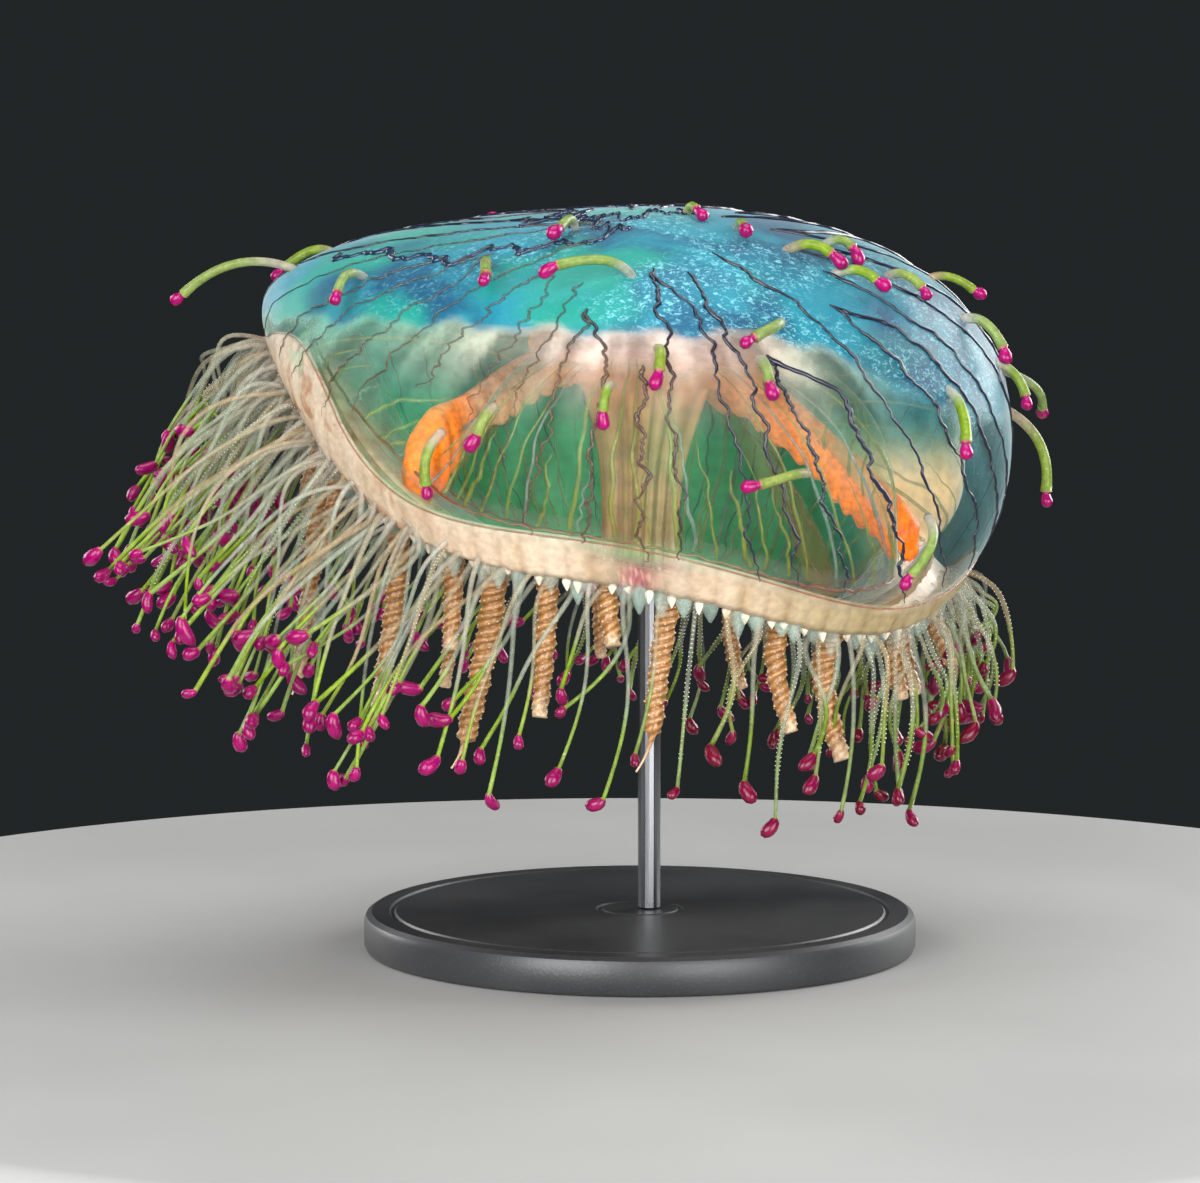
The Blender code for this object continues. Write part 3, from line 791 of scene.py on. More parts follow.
def streaks(place):
    """Soft uneven streaks, between 0 and 1, that fan out with the dark lines."""
    ray = place - FAN_MIDDLE
    turn = np.arctan2(ray @ FAN_BACK, ray @ FAN_RIGHT)
    waves = sum(weight * sin(order * turn + start) for order, weight, start in STREAK_WAVES)
    return 0.5 + 0.5 * np.tanh(1.3 * waves)


def ring_fullness(angle):
    """The ring is thinner in front of the mouth, which shows through it."""
    return 1 - 0.94 * hill(apart(angle, MOUTH_VIEW), 0, MOUTH_VIEW_WIDTH)


def outer_look(place, angle):
    """Colour, alpha and crown share of the outer face."""
    height, ring, streak = place[..., 2], ring_height(angle), streaks(place)
    low_side, high_side = smooth(cos(angle), 0.25, 0.75), smooth(-cos(angle), 0.1, 0.9)
    far = smooth(sin(angle), -0.1, 0.6)
    frill = 0.5 * sin(23 * angle) + 0.35 * sin(41 * angle + 1)
    edge = CAP_LEVEL + 2.2 * lobe(angle, pi) - 12.5 * smooth(cos(angle), 0.3, 0.92) + frill
    blur = 0.9 + 1.6 * smooth(cos(angle), 0.3, 0.9)
    cap = smooth(height, edge - blur, edge + blur)
    level = np.clip((height - ring) / (edge - ring), 0, 1)
    above_ring = (height - ring) / steepness(angle)
    cream = 1 - smooth(above_ring - 3.0 * smooth(-cos(angle), 0.80, 0.97), -3.2, -1.8)
    # the colour: haze on the near side, a deeper wall on the far one, and cream at the ring
    haze = blend(HAZE_GREEN, HAZE_BLUE, low_side)
    haze = blend(haze, HAZE_TEAL, high_side * smooth(level, 0.35, 0.8))
    upper = smooth(level, 0.5, 0.85) * (1 - low_side) * (1 - 0.8 * high_side)
    haze = blend(haze, HAZE_WHITE, maximum(upper, 0.12 * high_side * streak**2))
    wall = blend(FAR_GREEN, FAR_TEAL, smooth(level + 0.25 * high_side, 0.35, 0.9))
    wall = wall * (1 - 0.88 * low_side * (1 - 0.4 * level))[..., None]
    tint = blend(blend(haze, wall, far), CREAM, cream)
    # the alpha: milky streaks, a pale line over the ring where the lip's crest is given a painted
    # highlight, and a pale band under the crown
    crest_highlight = hill(above_ring, 0.9, 1.6) * (1 - smooth(cos(angle), 0.0, 0.5))
    band = smooth(level, 0.80, 0.93) * (1 - low_side)
    band = band * (1 - 0.4 * high_side) * (1 - 0.6 * high_side)
    milky = (0.02 + 0.18 * level**1.5) * (0.2 + 1.1 * streak) + 0.07 * high_side * streak
    milky = milky + (0.07 * low_side + 0.12 * high_side) * level
    milky = milky + 0.24 * crest_highlight * (1 - far) + 0.24 * band * (0.5 + streak)
    alpha = between(between(between(milky, 0.70 + 0.1 * streak, far), 0.93, cream), 0.88, cap)
    return tint, alpha * between(1, ring_fullness(angle), cream), cap * (1 - cream)


def inner_look(place, angle, share):
    """Colour and alpha of the inner face: peach at the low side, a pink veil on the ceiling."""
    peach = smooth(cos(angle), 0.78, 0.88) * (1 - smooth(place[..., 2], 74, 86))
    frill = 0.02 * sin(14 * angle) + 0.012 * sin(33 * angle + 2)
    veil = (1 - smooth(share + frill, 0.34, 0.47)) * (1 - smooth(cos(angle), 0.35, 0.7))
    veil = veil * (1 - 0.9 * smooth(-cos(angle), 0.3, 0.75))
    veil = veil * (1 - 0.6 * smooth(sin(angle), 0.1, 0.6))
    tint = blend(blend(WINDOW_GREEN, PEACH, peach), VEIL, veil)
    alpha = 0.045 + 0.72 * peach + 0.84 * veil + 0.015 * sin(96 * angle)
    return tint, np.minimum(alpha, 0.88)


def lip_look(angle, along):
    """Colour and alpha of the lip, whose rows become the velum half way along."""
    velum = smooth(along, 0.42, 0.5)
    blotch = sin(37 * angle + 3 * along) * sin(23 * angle + 5 * along + 1)
    blotch = smooth(blotch, 0.1, 0.7) * smooth(-cos(angle), 0.3, 0.8)
    peach = smooth(along, 0.80, 0.88) * smooth(cos(angle), 0.78, 0.88)
    tint = blend(blend(LIP_CREAM, VELUM_GREY, velum), LIP_BROWN, 0.7 * blotch)
    alpha = (0.95 - 0.83 * velum - 0.06 * smooth(along, 0.85, 1.0)) * ring_fullness(angle)
    return blend(tint, PEACH, peach), between(alpha, 0.75, peach)


def umbrella():
    """One skin round the whole umbrella, with its lip and velum."""
    angle = round_turn(SKIN_COLUMNS)
    outer_shares = linspace(0.012, 0.96, 70)[:, None]
    inner_shares = linspace(0.90, 0.012, 56)[:, None]
    outer, inner = outer_point(angle, outer_shares), inner_point(angle, inner_shares)
    corners = [ring_point(angle, *corner) for corner in LIP_CORNERS]
    corners = [outer_point(angle, 1.0), *corners, inner_point(angle, 0.94)]
    lip = rounded([outer[-1], *corners, inner[0]])[1:-1]
    outer_tint, outer_alpha, crown = outer_look(outer, angle)
    lip_tint, lip_alpha = lip_look(angle, linspace(0, 1, len(lip))[:, None])
    inner_tint, inner_alpha = inner_look(inner, angle, inner_shares)
    tint = np.concatenate([outer_tint, lip_tint, inner_tint])
    alpha = np.concatenate([outer_alpha, lip_alpha, inner_alpha])
    mark = np.zeros_like(alpha)
    mark[: len(crown)] = crown
    mesh = Mesh()
    mesh.rings(np.concatenate([outer, lip, inner]), tint, alpha, mark)
    names = ["umbrella_crown"]
    names += [f"umbrella_wall_{i}" for i in range(1, 9)]
    names += [f"margin_{i}" for i in range(1, 9)]
    mesh.piece("bell_skin", skin_material(), "umbrella", names)


def nettle_top(angle):
    """The share of the outer face where the nettle band begins."""
    top = NETTLE_TOP + 0.012 * smooth(cos(angle), 0.3, 0.8)
    top = top - NETTLE_WIDER * hill(angle, NETTLE_MIDDLE, NETTLE_SPREAD)
    return top - CORNER_WIDER * hill(angle, CORNER_MIDDLE, CORNER_SPREAD)


def nettle_band(mesh):
    """The cream band of swollen cells round the lip."""
    angle = round_turn(CELL_COLUMNS * NETTLE_CELLS)
    top = nettle_top(angle)
    strip = rounded(
        [
            outer_point(angle, top) - 0.5 * face_normal(outer_point, angle, top),
            outer_point(angle, top + 0.012),
            *(outer_point(angle, between(top, 1.0, part)) for part in (0.4, 0.6, 0.8, 1.0)),
            ring_point(angle, 1.2, -LIP_DROP - 0.5),
            ring_point(angle, RING_INWARD - 0.8, -2.8),
            ring_point(angle, RING_INWARD - 0.4, -1.3),
        ]
    )
    down = linspace(0, 1, len(strip))[:, None]
    across = sin(pi * down) ** 0.5
    drift = 0.35 * sin(7 * angle) + 0.25 * sin(17 * angle + 1)
    cell = np.abs(sin(NETTLE_CELLS * angle / 2 + drift)) ** 0.35
    uneven = 0.8 + 0.3 * sin(29 * angle) + 0.2 * sin(47 * angle + 2)
    height = 0.12 + 0.30 * across * cell * uneven * (1 - 0.5 * smooth(-cos(angle), 0.2, 0.8))
    around = unit(np.roll(strip, -1, axis=1) - np.roll(strip, 1, axis=1))
    place = strip + unit(np.cross(unit(np.gradient(strip, axis=0)), around)) * height[..., None]
    puffs = 0.5 + 0.5 * sin(13 * angle + 2 * sin(5 * angle)) * sin(31 * angle + 1)
    # painted highlight: the top of the band on the near side is made paler and clearer, as a white
    # glint line; the puffs are the band's own pale patches
    near_top_glint = hill(down, 0, 0.17) * smooth(-sin(angle), -0.1, 0.4)
    # painted shade: darker in the troughs between the swollen cells and towards the band's top and
    # bottom edges, where the cells sink
    tint = blend(CELL_TROUGH_SHADE, CELL_CREAM, (cell * across) ** 2)
    tint = blend(tint, PUFF_AND_GLINT_WHITE, np.clip(0.35 * puffs * across + 0.5 * near_top_glint, 0, 1))
    tint = tint * blend((1, 1, 1), LOW_SIDE_SHADE, smooth(cos(angle), 0.1, 0.6))
    alpha = 0.95 * ring_fullness(angle) * (1 - 0.55 * near_top_glint)
    mesh.rings(place, tint, alpha, smooth(-cos(angle), 0.3, 0.9), ends=False)


def hanging_tips(mesh, controls, radii, sides, tint, alpha):
    """Adds small tubes that swell and taper along their curves."""
    tubes(mesh, bezier(controls, linspace(0, 1, len(radii))), np.array(radii), sides, tint, alpha)


def nettle_ring():
    """The nettle band, with teeth and clear lappets below it."""
    mesh = Mesh()
    nettle_band(mesh)
    angle = TURN * (scattered(NETTLE_CELLS, 0.6) + 0.2 / NETTLE_CELLS)
    root = ring_point(angle, 1.0, -LIP_DROP - 0.35)
    lean = 0.5 * (draw(NETTLE_CELLS) - 0.5)
    length = 1.0 + 1.2 * draw(NETTLE_CELLS)
    tip = root + points(cos(angle + 1.5) * lean, sin(angle + 1.5) * lean, -length)
    radii = (0.45, 0.72, 0.68, 0.5, 0.3, 0.08)
    hanging_tips(mesh, [root, (root + tip) / 2, tip], radii, 7, TOOTH_WHITE, 0.95)
    root = ring_point(angle + 0.5 * TURN / NETTLE_CELLS, 1.4, -LIP_DROP - 0.35)
    outward = points(cos(angle), sin(angle), 0)
    tip = root + outward * 0.6 + points(0, 0, -(2.2 + 2.2 * draw(NETTLE_CELLS)))
    radii = (0.4, 1.0, 1.3, 1.3, 1.1, 0.75, 0.2)
    alpha = 0.16 + 0.20 * draw((NETTLE_CELLS, 1))
    hanging_tips(mesh, [root, root + outward * 0.8, tip], radii, 8, LAPPET_GREY, alpha)
    mesh.piece("nettle_ring", nettle_material(), "margin")


def ring_lines():
    """The thin brown-red nerve inside the lip, and the line that edges the nettle band above."""
    mesh = Mesh()
    angle = linspace(0, TURN, 721)
    wobble = 0.12 * sin(61 * angle) + 0.1 * sin(97 * angle)
    nerve = inner_point(angle, 0.962)
    nerve = nerve + points(-0.35 * cos(angle), -0.35 * sin(angle), 0.15 + wobble)
    tubes(mesh, nerve[None], 0.22, 6, BROWN_RED, 0.9)
    top = nettle_top(angle)
    edge = outer_point(angle, top + 0.003) + 0.05 * face_normal(outer_point, angle, top)
    tubes(mesh, edge[None], 0.12, 6, BAND_EDGE_RED, 0.45)
    mesh.piece("ring_lines", flesh_material("ring_nerve"), "margin")


def fan(place, turn, opening):
    """Where the rays of a fan meet a face of the bell: they spread round the tilted axis.

    Turns go round the axis and openings away from it, in radians. Gives angle and share.
    """

    def rise(vectors):
        return np.arctan2(vectors[..., 2], np.hypot(vectors[..., 0], vectors[..., 1]))

    aside = FAN_RIGHT * cos(turn) + FAN_BACK * sin(turn)
    ray = FAN_AXIS * cos(opening)[:, None] + aside * sin(opening)[:, None]
    angle = np.arctan2(ray[:, 1], ray[:, 0])
    return angle, halving(lambda s: rise(place(angle, s) - FAN_MIDDLE) > rise(ray), angle, 1.0, 24)


def fan_lines(place, steps, turns, openings, firsts, lasts):
    """Angles and shares of lines down a face, each on one ray from its first to its last share."""
    angles, shares = [], []
    for turn, opening, first, last in zip(*np.broadcast_arrays(turns, openings, firsts, lasts)):
        wide = linspace(opening, WIDEST_OPENING, 160)
        share = fan(place, turn, wide)[1]
        end = wide[np.argmax(share >= last)] if share.max() >= last else wide[-1]
        angle, share = fan(place, turn, linspace(wide[np.argmax(share >= first)], end, steps))
        angles.append(np.unwrap(angle))
        shares.append(np.minimum(share, last))
    return np.array(angles), np.array(shares)


def meridians():
    """Dark crinkled lines down the outer face, some of which fork at the top, and a few dark lines
    that paint the shade in creases.
    """
    mesh = Mesh()
    count, steps = 38, 130
    along = linspace(0, 1, steps)
    own = TURN * scattered(count, 0.5)
    openings = 0.10 + 0.5 * draw(count)
    forks = arange(3, count, 3)
    openings[forks] = openings[forks - 1]
    faint = smooth(-cos(own), 0.0, 0.6) * smooth(-sin(own), -0.5, 0.2)
    lasts = 0.945 - 0.02 * draw(count) - 0.25 * faint * draw(count)
    angle, share = fan_lines(outer_point, steps, own, openings, 0.0, lasts)
    radius = maximum(np.linalg.norm(outer_point(angle, share)[..., :2], axis=-1), 8)
    crinkle = wandering(count, steps, 0.42) + wandering(count, steps, 0.28, 2.6)
    angle = angle + crinkle / radius * smooth(along, 0, 0.05)
    place = outer_point(angle, share)
    for i in forks:
        place[i] = between(place[i - 1], place[i], smooth(along, 0.0, 0.2)[:, None])
    faint = faint[:, None]
    width = 0.34 * (1 - 0.45 * along) * (0.75 + 0.5 * draw((count, 1)))
    width = width * (1 + wandering(count, steps, 0.16, 1.6)) * (1 - 0.4 * faint)
    width = width * smooth(along, -0.03, 0.04) * (1 - 0.6 * smooth(along, 0.85, 1.0))
    x, y, z = np.moveaxis(place, -1, 0)
    browner = smooth(-x, -14, 6) * smooth(-y, -5, 10) * smooth(-z, -100, -93)
    tint = blend(blend(NAVY, FAINT_GREY, faint), DARK_BROWN, browner)
    alpha = 0.97 - 0.45 * faint - 0.30 * browner * (1 - faint)
    place = place + 0.05 * face_normal(outer_point, angle, share)
    tubes(mesh, place, maximum(width, 0.06), 6, tint, alpha)
    # painted shade: dark blue lines along the creases of the outer face
    for first, last, high, low, size, thickness in CREASES:
        wave = wandering(1, steps, size) + wandering(1, steps, 0.7 * size, 2.4)
        share = np.clip(linspace(high, low, steps) + 0.012 * wave, 0.02, 0.9)
        width = maximum(thickness * (1 + wandering(1, steps, 0.2, 1.5)), 0.1)
        angle = radians(linspace(first, last, steps))[None]
        lines_on(mesh, outer_point, angle, share, 0.04, width, 6, CREASE_SHADE_BLUE, 0.93)
    mesh.piece("meridian_lines", flesh_material("meridian_dark", 0.35, 900, 0.3, 0.1), "umbrella")


def inner_canals():
    """Olive and grey lines up the inner face, most of which end part way."""
    mesh = Mesh()
    count, steps = 84, 40
    own = TURN * scattered(count, 0.6)
    tops = np.where(draw(count) < 0.42, 0.36, 0.60 + 0.2 * draw(count))
    along = linspace(1, 0, steps)
    angle, share = fan_lines(inner_point, steps, own, 0.05, tops, 0.945)
    angle = angle + wandering(count, steps, 0.30, 0.32) / 45.0
    width = 0.32 * (1 - 0.55 * along**2) * (0.6 + 0.7 * draw((count, 1)))
    tint = blend(OLIVE, CANAL_GREY, 0.7 * (draw((count, 1)) < 0.3))
    lines_on(mesh, inner_point, angle, share, -0.1, width, 6, tint, 0.46 * (1 - 0.5 * along**3))
    mesh.piece("inner_canals", flesh_material("canal_olive", 0.35, 700, 0.3, 0.1), "umbrella")


# The manubrium and the gonads


def manubrium_radius(share, angle):
    """The tube narrows to a waist and flares at the mouth, with a lobe at each canal."""
    narrowing = cos(pi / 2 * np.minimum(share / MANUBRIUM_SPLIT, 1.0)) ** 2
    flare = maximum(0.0, (share - FLARE_START) / (1 - FLARE_START)) ** 1.5
    radius = between(MANUBRIUM_WAIST_RADIUS, MANUBRIUM_TOP_RADIUS, narrowing)
    radius = radius + (MOUTH_RADIUS - MANUBRIUM_WAIST_RADIUS) * flare
    radius = radius - MANUBRIUM_TAPER * share * (1 - flare)
    return radius * (1 + between(STOMACH_LOBES, LIP_LOBES, flare) * (2 * canal_nearness(angle) - 1))


def ceiling_share(angle, wider):
    """The share at which the ceiling is this much wider than the stomach's top."""

    def inside(share):
        x, y, _ = np.moveaxis(inner_point(angle, share), -1, 0)
        return np.hypot(x, y - CAVITY_LEAN) < radius

    radius = manubrium_radius(0.0, angle) + wider
    return halving(inside, radius, 0.8, 30)


def manubrium():
    """The peach stomach and mouth tube, with soft pleats and a frilled pink mouth."""
    mesh = Mesh()
    columns, rows = 128, 60
    angle, share = round_turn(columns), linspace(0, 1, rows)[:, None]
    apex = inner_point(0, 0)
    frill = smooth(share, 0.86, 1.0)
    pleats = 1 + 0.035 * sin(18 * angle + 3 * share) + 0.02 * sin(31 * angle - 2 * share)
    pleats = pleats + frill * (0.10 * sin(22 * angle) + 0.05 * sin(43 * angle))
    tent = TENT_SPREAD * maximum(0.0, 1 - share / TENT_SHARE) ** 1.7
    radius = (manubrium_radius(share, angle) * MANUBRIUM_FULLNESS + tent) * pleats
    ceiling = inner_point(angle, ceiling_share(angle, TENT_SPREAD))[:, 2] - STOMACH_GAP
    height = between(apex[2], RING_LEVEL + MOUTH_LEVEL, share) + frill * 0.5 * sin(22 * angle + 1)
    height = height + (ceiling - apex[2]) * (1 - smooth(share, 0.0, 0.25))
    x = MANUBRIUM_SHIFT * share + radius * cos(angle)
    y = apex[1] * (1 - share) + radius * sin(angle)
    place = points(x, y, height)
    tint = blend(PLEAT_BROWN, PLEAT_PEACH, 0.5 + 0.5 * sin(18 * angle + 3 * share + 1.2))
    tint = blend(tint, STOMACH_PEACH, 0.9 * hill(share, 0.06, 0.17))
    mottle = sin(13 * angle + 40 * share) * sin(21 * angle - 70 * share + 1)
    mouth_tint = blend(MOUTH_RED, MOUTH_PINK, smooth(mottle, 0.0, 0.7))
    tint = blend(tint, mouth_tint, smooth(share, 0.86, 0.93))
    alpha = 0.9 - 0.35 * smooth(share, 0.2, 0.5) + 0.4 * smooth(share, 0.86, 0.97)
    mesh.rings(place, tint, alpha, ends=False)
    middle = np.broadcast_to(apex - np.array([0, 0, STOMACH_GAP]), place[:1].shape)
    mesh.rings(np.concatenate([middle, place[:1]]), tint[:1], 0.7, ends=False)
    flesh = flesh_material("manubrium_peach", 0.3, 300, 0.2, 0.3)
    mesh.piece("manubrium", flesh, "manubrium", ["manubrium_stomach", "manubrium_mouth"])


def stomach_threads():
    """Brown-red canals beside the gonads, and thin red branching lines on the stomach."""
    mesh = Mesh()
    steps, count = 40, 4
    along = linspace(0, 1, steps)
    for middle in radians(CANAL_ANGLES):
        beside = np.array([[-0.05], [0.06]]) * (1 - 0.3 * along)
        angle = middle + beside + wandering(2, steps, 0.3) / 30
        share, radius = between(0.24, 0.93, along), 0.2 * (1 - 0.5 * along)
        lines_on(mesh, inner_point, angle, share, -0.25, radius, 5, CANAL_RED, 0.85)
    for middle, turn, reach in THREADS:
        angle = radians(middle) + (arange(count)[:, None] - 1.5) * 0.16 * along + turn * 0.2
        angle = angle + wandering(count, steps, 0.03)
        share, radius = 0.20 + reach * 0.45 * along, 0.16 * (1 - 0.6 * along)
        lines_on(mesh, inner_point, angle, share, -0.2, radius, 5, THREAD_RED, 0.9)
    mesh.piece("stomach_threads", flesh_material("thread_red", 0.35, 900, 0.2, 0.1), "manubrium")


def gonads():
    """Four folded orange ribbons that hang from the radial canals."""
    mesh = Mesh()
    rows, columns = 110, 22
    progress, turn = linspace(0, 1, rows)[:, None], round_turn(columns)
    depth_share = 0.5 - 0.5 * cos(turn)
    fold = sin(TURN * 3 * progress)
    wrinkle = sin(TURN * 11 * progress + 2 * depth_share + 0.7 * sin(TURN * 5 * progress))
    shift = 0.6 * fold * (depth_share - 0.3) + 0.15 * wrinkle * depth_share
    redder = 0.5 * smooth(wrinkle, 0.2, 1.0) * smooth(progress, 0.1, 0.6)
    for middle, row in zip(radians(CANAL_ANGLES), GONADS):
        size, plain, extra, width, deep_from, deep_to, tilting, pale = row
        hang = inner_point(middle, between(ceiling_share(middle, 0.6), GONAD_END, progress))
        outward = np.array([cos(middle), sin(middle), 0])
        aside = np.array([-sin(middle), cos(middle), 0])
        swell = (plain + extra * hill(progress, 0.86, width)) * size * smooth(progress, -0.06, 0.05)
        swell = swell * (1 - 0.5 * smooth(progress, 0.94, 1.0))
        tilt = tilting * smooth(progress, 0.55, 0.85)
        across = shift + GONAD_HALF * swell * (1 + 0.07 * wrinkle) * sin(turn)
        depth = GONAD_DEPTH * (1 - 1.2 * tilt) * depth_share * (1 + 0.05 * wrinkle)
        depth = swell * (depth - GONAD_RISE * (1 - 0.4 * tilt))
        hanging = unit(points(0, 0, tilt - 1) - outward * tilt[..., None])
        place = hang - (0, 0, GONAD_GAP) + aside * across[..., None] + hanging * depth[..., None]
        deep = smooth(progress, deep_from, deep_to)
        tint = blend(blend(GONAD_PEACH, ORANGE, deep), WRINKLE_RED, redder)
        alpha = 0.42 + 0.56 * deep
        if pale:
            tint, alpha = blend(tint, FAR_YELLOW, 0.7), 0.12 * alpha
        mesh.rings(place, tint, alpha)
    flesh = flesh_material("gonad_orange", 0.42, 1100, 0.22, 0.6, 0.05, 0.2)
    mesh.piece("gonads", flesh, "gonad", [f"gonad_{i}" for i in range(1, 5)])


# The tentacles


def stalks_with_bulbs(mesh, stalks, radius, form, bulb_tint, stalk_alpha, lime_from, lime_depth):
    """Adds fine tentacles: clear stalks that turn lime towards the end, then bent, glossy bulbs.

    Form holds the bulbs' sizes, length and bend, and how much a stalk narrows towards its bulb.
    What varies is a column, with one row for each tentacle.
    """
    bulb_size, longer, bend, narrowing = form
    count, steps = stalks.shape[:2]
    heading = unit(stalks[:, -1:] - stalks[:, -2:-1])
    aside = unit(np.cross(heading, random.normal(size=(count, 1, 3))))
    curl = bend * (0.45 + 0.75 * draw((count, 1)))
    reach = BULB_LENGTH * longer * bulb_size * (0.85 + 0.3 * draw((count, 1)))
    forward = reach * BULB_SHARES * (1 - 0.25 * curl * BULB_SHARES)
    sideways = reach * curl * BULB_SHARES**2
    bulb = stalks[:, -1:] + heading * forward[..., None] + aside * sideways[..., None]
    bulb[:, :1] += heading * 0.02
    widths = BULB_RADIUS * bulb_size * BULB_WIDTHS * (0.94 + 0.12 * draw((count, len(BULB_SHARES))))
    neck = linspace(0, 1, steps)
    stalk_widths = radius * (1.2 - narrowing * neck + 0.15 * smooth(neck, 0.86, 1.0))
    widths[:, 0] = stalk_widths[:, -1] * 1.05
    lime = smooth(neck, lime_from, 0.5 * lime_from + 0.48) * (0.70 + 0.30 * draw((count, 1)))
    browner = 0.8 * (arange(count)[:, None] * GOLDEN % 1) ** 2.5
    stalk_tint = blend(blend(STALK, ROOT_BEIGE, 1 - smooth(neck, 0.0, 0.5)), STALK_TAN, browner)
    stalk_tint = between(stalk_tint, np.reshape(lime_depth, (-1, 1, 1)) * LIME, lime[..., None])
    bulb_tint = blend(np.broadcast_to(bulb_tint, (count, 1, 3)), LIME, 0.65 * (BULB_SHARES == 0))
    bulb_tint = bulb_tint * (1.0 - 0.25 * smooth(BULB_SHARES, 0.75, 1.0))[:, None]
    alpha = np.hstack([between(stalk_alpha, 0.9, lime), np.ones_like(widths)])
    mark = np.hstack([0 * lime, np.ones_like(widths)])
    paths, radii = np.hstack([stalks, bulb]), np.hstack([stalk_widths, widths])
    tubes(mesh, paths, radii, 8, np.hstack([stalk_tint, bulb_tint]), alpha, mark)


def bead_rows(mesh, paths, radii, spacing, size, tint, until):
    """Adds rows of beads that wind along each path, from its root to this share of it."""
    for path, radius in zip(paths, radii):
        lengths = distances(path)
        count = max(4, int(lengths[-1] * until / spacing))
        where = linspace(0, lengths[-1] * until, count)
        line = np.stack([np.interp(where, lengths, path[:, i]) for i in range(3)], axis=-1)
        around = tube_points(line[None], radius, BEAD_SIDES)[0]
        first = random.integers(BEAD_SIDES)
        for row in range(BEAD_ROWS):
            sides = first + row * BEAD_SIDES // BEAD_ROWS + where / BEAD_TWIST * BEAD_SIDES
            centres = around[arange(count), sides.astype(int) % BEAD_SIDES]
            beads(mesh, centres, size * (0.75 + 0.5 * draw(count)), tint)


def both(first, more):
    """A value for each fine tentacle in the solids, then one for each of the others."""
    return np.concatenate([np.broadcast_to(first, CAD_FINE), np.broadcast_to(more, MORE_FINE)])


def more_angles():
    """Where the others grow: most of them on the high side, and some on the low one."""
    around = linspace(0, TURN, 721)
    density = 0.28 + 1.7 * lobe(around, HIGH_ANGLE, 2) + 0.25 * lobe(around, 0, 6)
    density = density - 0.24 * smooth(-sin(around), 0.75, 0.95)
    total = np.cumsum(density)
    return np.interp(scattered(MORE_FINE, 1.0), total / total[-1], around)


def fine_stalks():
    """The lines of all fine tentacles: those in the solids, then more inside their outline."""
    angle = both(TURN * (arange(CAD_FINE) + 0.5) / CAD_FINE, more_angles())
    variation = both(arange(CAD_FINE) * GOLDEN % 1, draw(MORE_FINE))
    extra = both(1.0, 0.55 + 0.43 * draw(MORE_FINE))
    inward = both(0.8, 0.2 + 2.6 * draw(MORE_FINE))
    own_way = both(0.0, draw(MORE_FINE))
    highest, sweeping = hill(angle, pi, radians(24)), hill(angle, SWEEP_ANGLE, radians(21))
    leaning = hill(angle, LEAN_ANGLE, radians(42)) * (own_way > 0)
    arch = smooth(-cos(angle), 0.2, 0.95) * (1 - 0.75 * leaning) * both(1.0, draw(MORE_FINE))
    # how far each one reaches out, drops and drifts
    everywhere, high, low = FINE_REACH
    reach = everywhere + high * lobe(angle, pi, 1.5) + low * lobe(angle, 0, 3)
    reach = reach * (0.45 + 0.6 * variation) * extra
    reach = reach * (1 - 0.5 * highest * own_way + SWEEP_FURTHER * sweeping * own_way**2)
    everywhere, long, low = FINE_DROP
    drop = everywhere + long * lobe(angle, FINE_LONG_ANGLE, 1.5)
    drop = (drop + low * lobe(angle, FINE_LOW_ANGLE, 4)) * (1.08 - 0.42 * variation) * extra
    drift = FINE_DRIFT - LEAN_REACH * leaning * (0.35 + 0.65 * own_way)
    out_x, out_y = cos(angle) - SWEEP_LEAN * sweeping * (own_way > 0), sin(angle)
    out_x, out_y = out_x / np.hypot(out_x, out_y), out_y / np.hypot(out_x, out_y)
    root = ring_point(angle, inward, -LIP_DROP + 0.9)

    def at(out, down, drifted):
        """The point at these shares of the reach, the drop and the drift."""
        x, y = out * reach * out_x + drifted * drift, out * reach * out_y
        return root + points(x, y + drifted * FINE_SPREAD * (1 - 2 * variation), -down * drop)

    underside = ring_point(angle, inward, maximum(0.0, inward - 1.6) - LIP_DROP - 0.4)
    outside = outer_point(angle, 0.955 + 0.04 * variation)
    start = between(underside, outside, smooth(-cos(angle), 0.1, 0.6)[:, None])
    shoulder = at(0.35 + 0.45 * arch, 0.14 - 0.18 * arch - 0.20 * arch * own_way, 0.0)
    knee = at(0.85 + 0.1 * arch, 0.55 - 0.15 * arch, 0.2 + 0.3 * leaning)
    shares = linspace(0, 1, STALK_STEPS)
    path = bezier([start, shoulder, knee, at(1.0, 1.0, 1.0)], shares)
    # loose waves on top of the curve
    own_way, arch = own_way[:, None, None], arch[:, None, None]
    loose = both(5.0, 8.0)[:, None, None] * (0.6 + 0.4 * arch) * (1.0, 1.0, 0.35)
    sway = tossed(len(angle), sin(pi * shares)) + 0.75 * tossed(len(angle), sin(TURN * shares))
    toss = both(1.0, 4.0)[:, None, None] * (1.0 + 1.8 * arch) * (1.0, 1.0, 0.7)
    curls = sin(TURN * (1.7 * shares[:, None] + own_way)) * shares[:, None]
    curls = curls * own_way * (0.9, 0.9, 0.5)
    return angle, path + sway * loose + tossed(len(angle), shares**2) * toss + curls


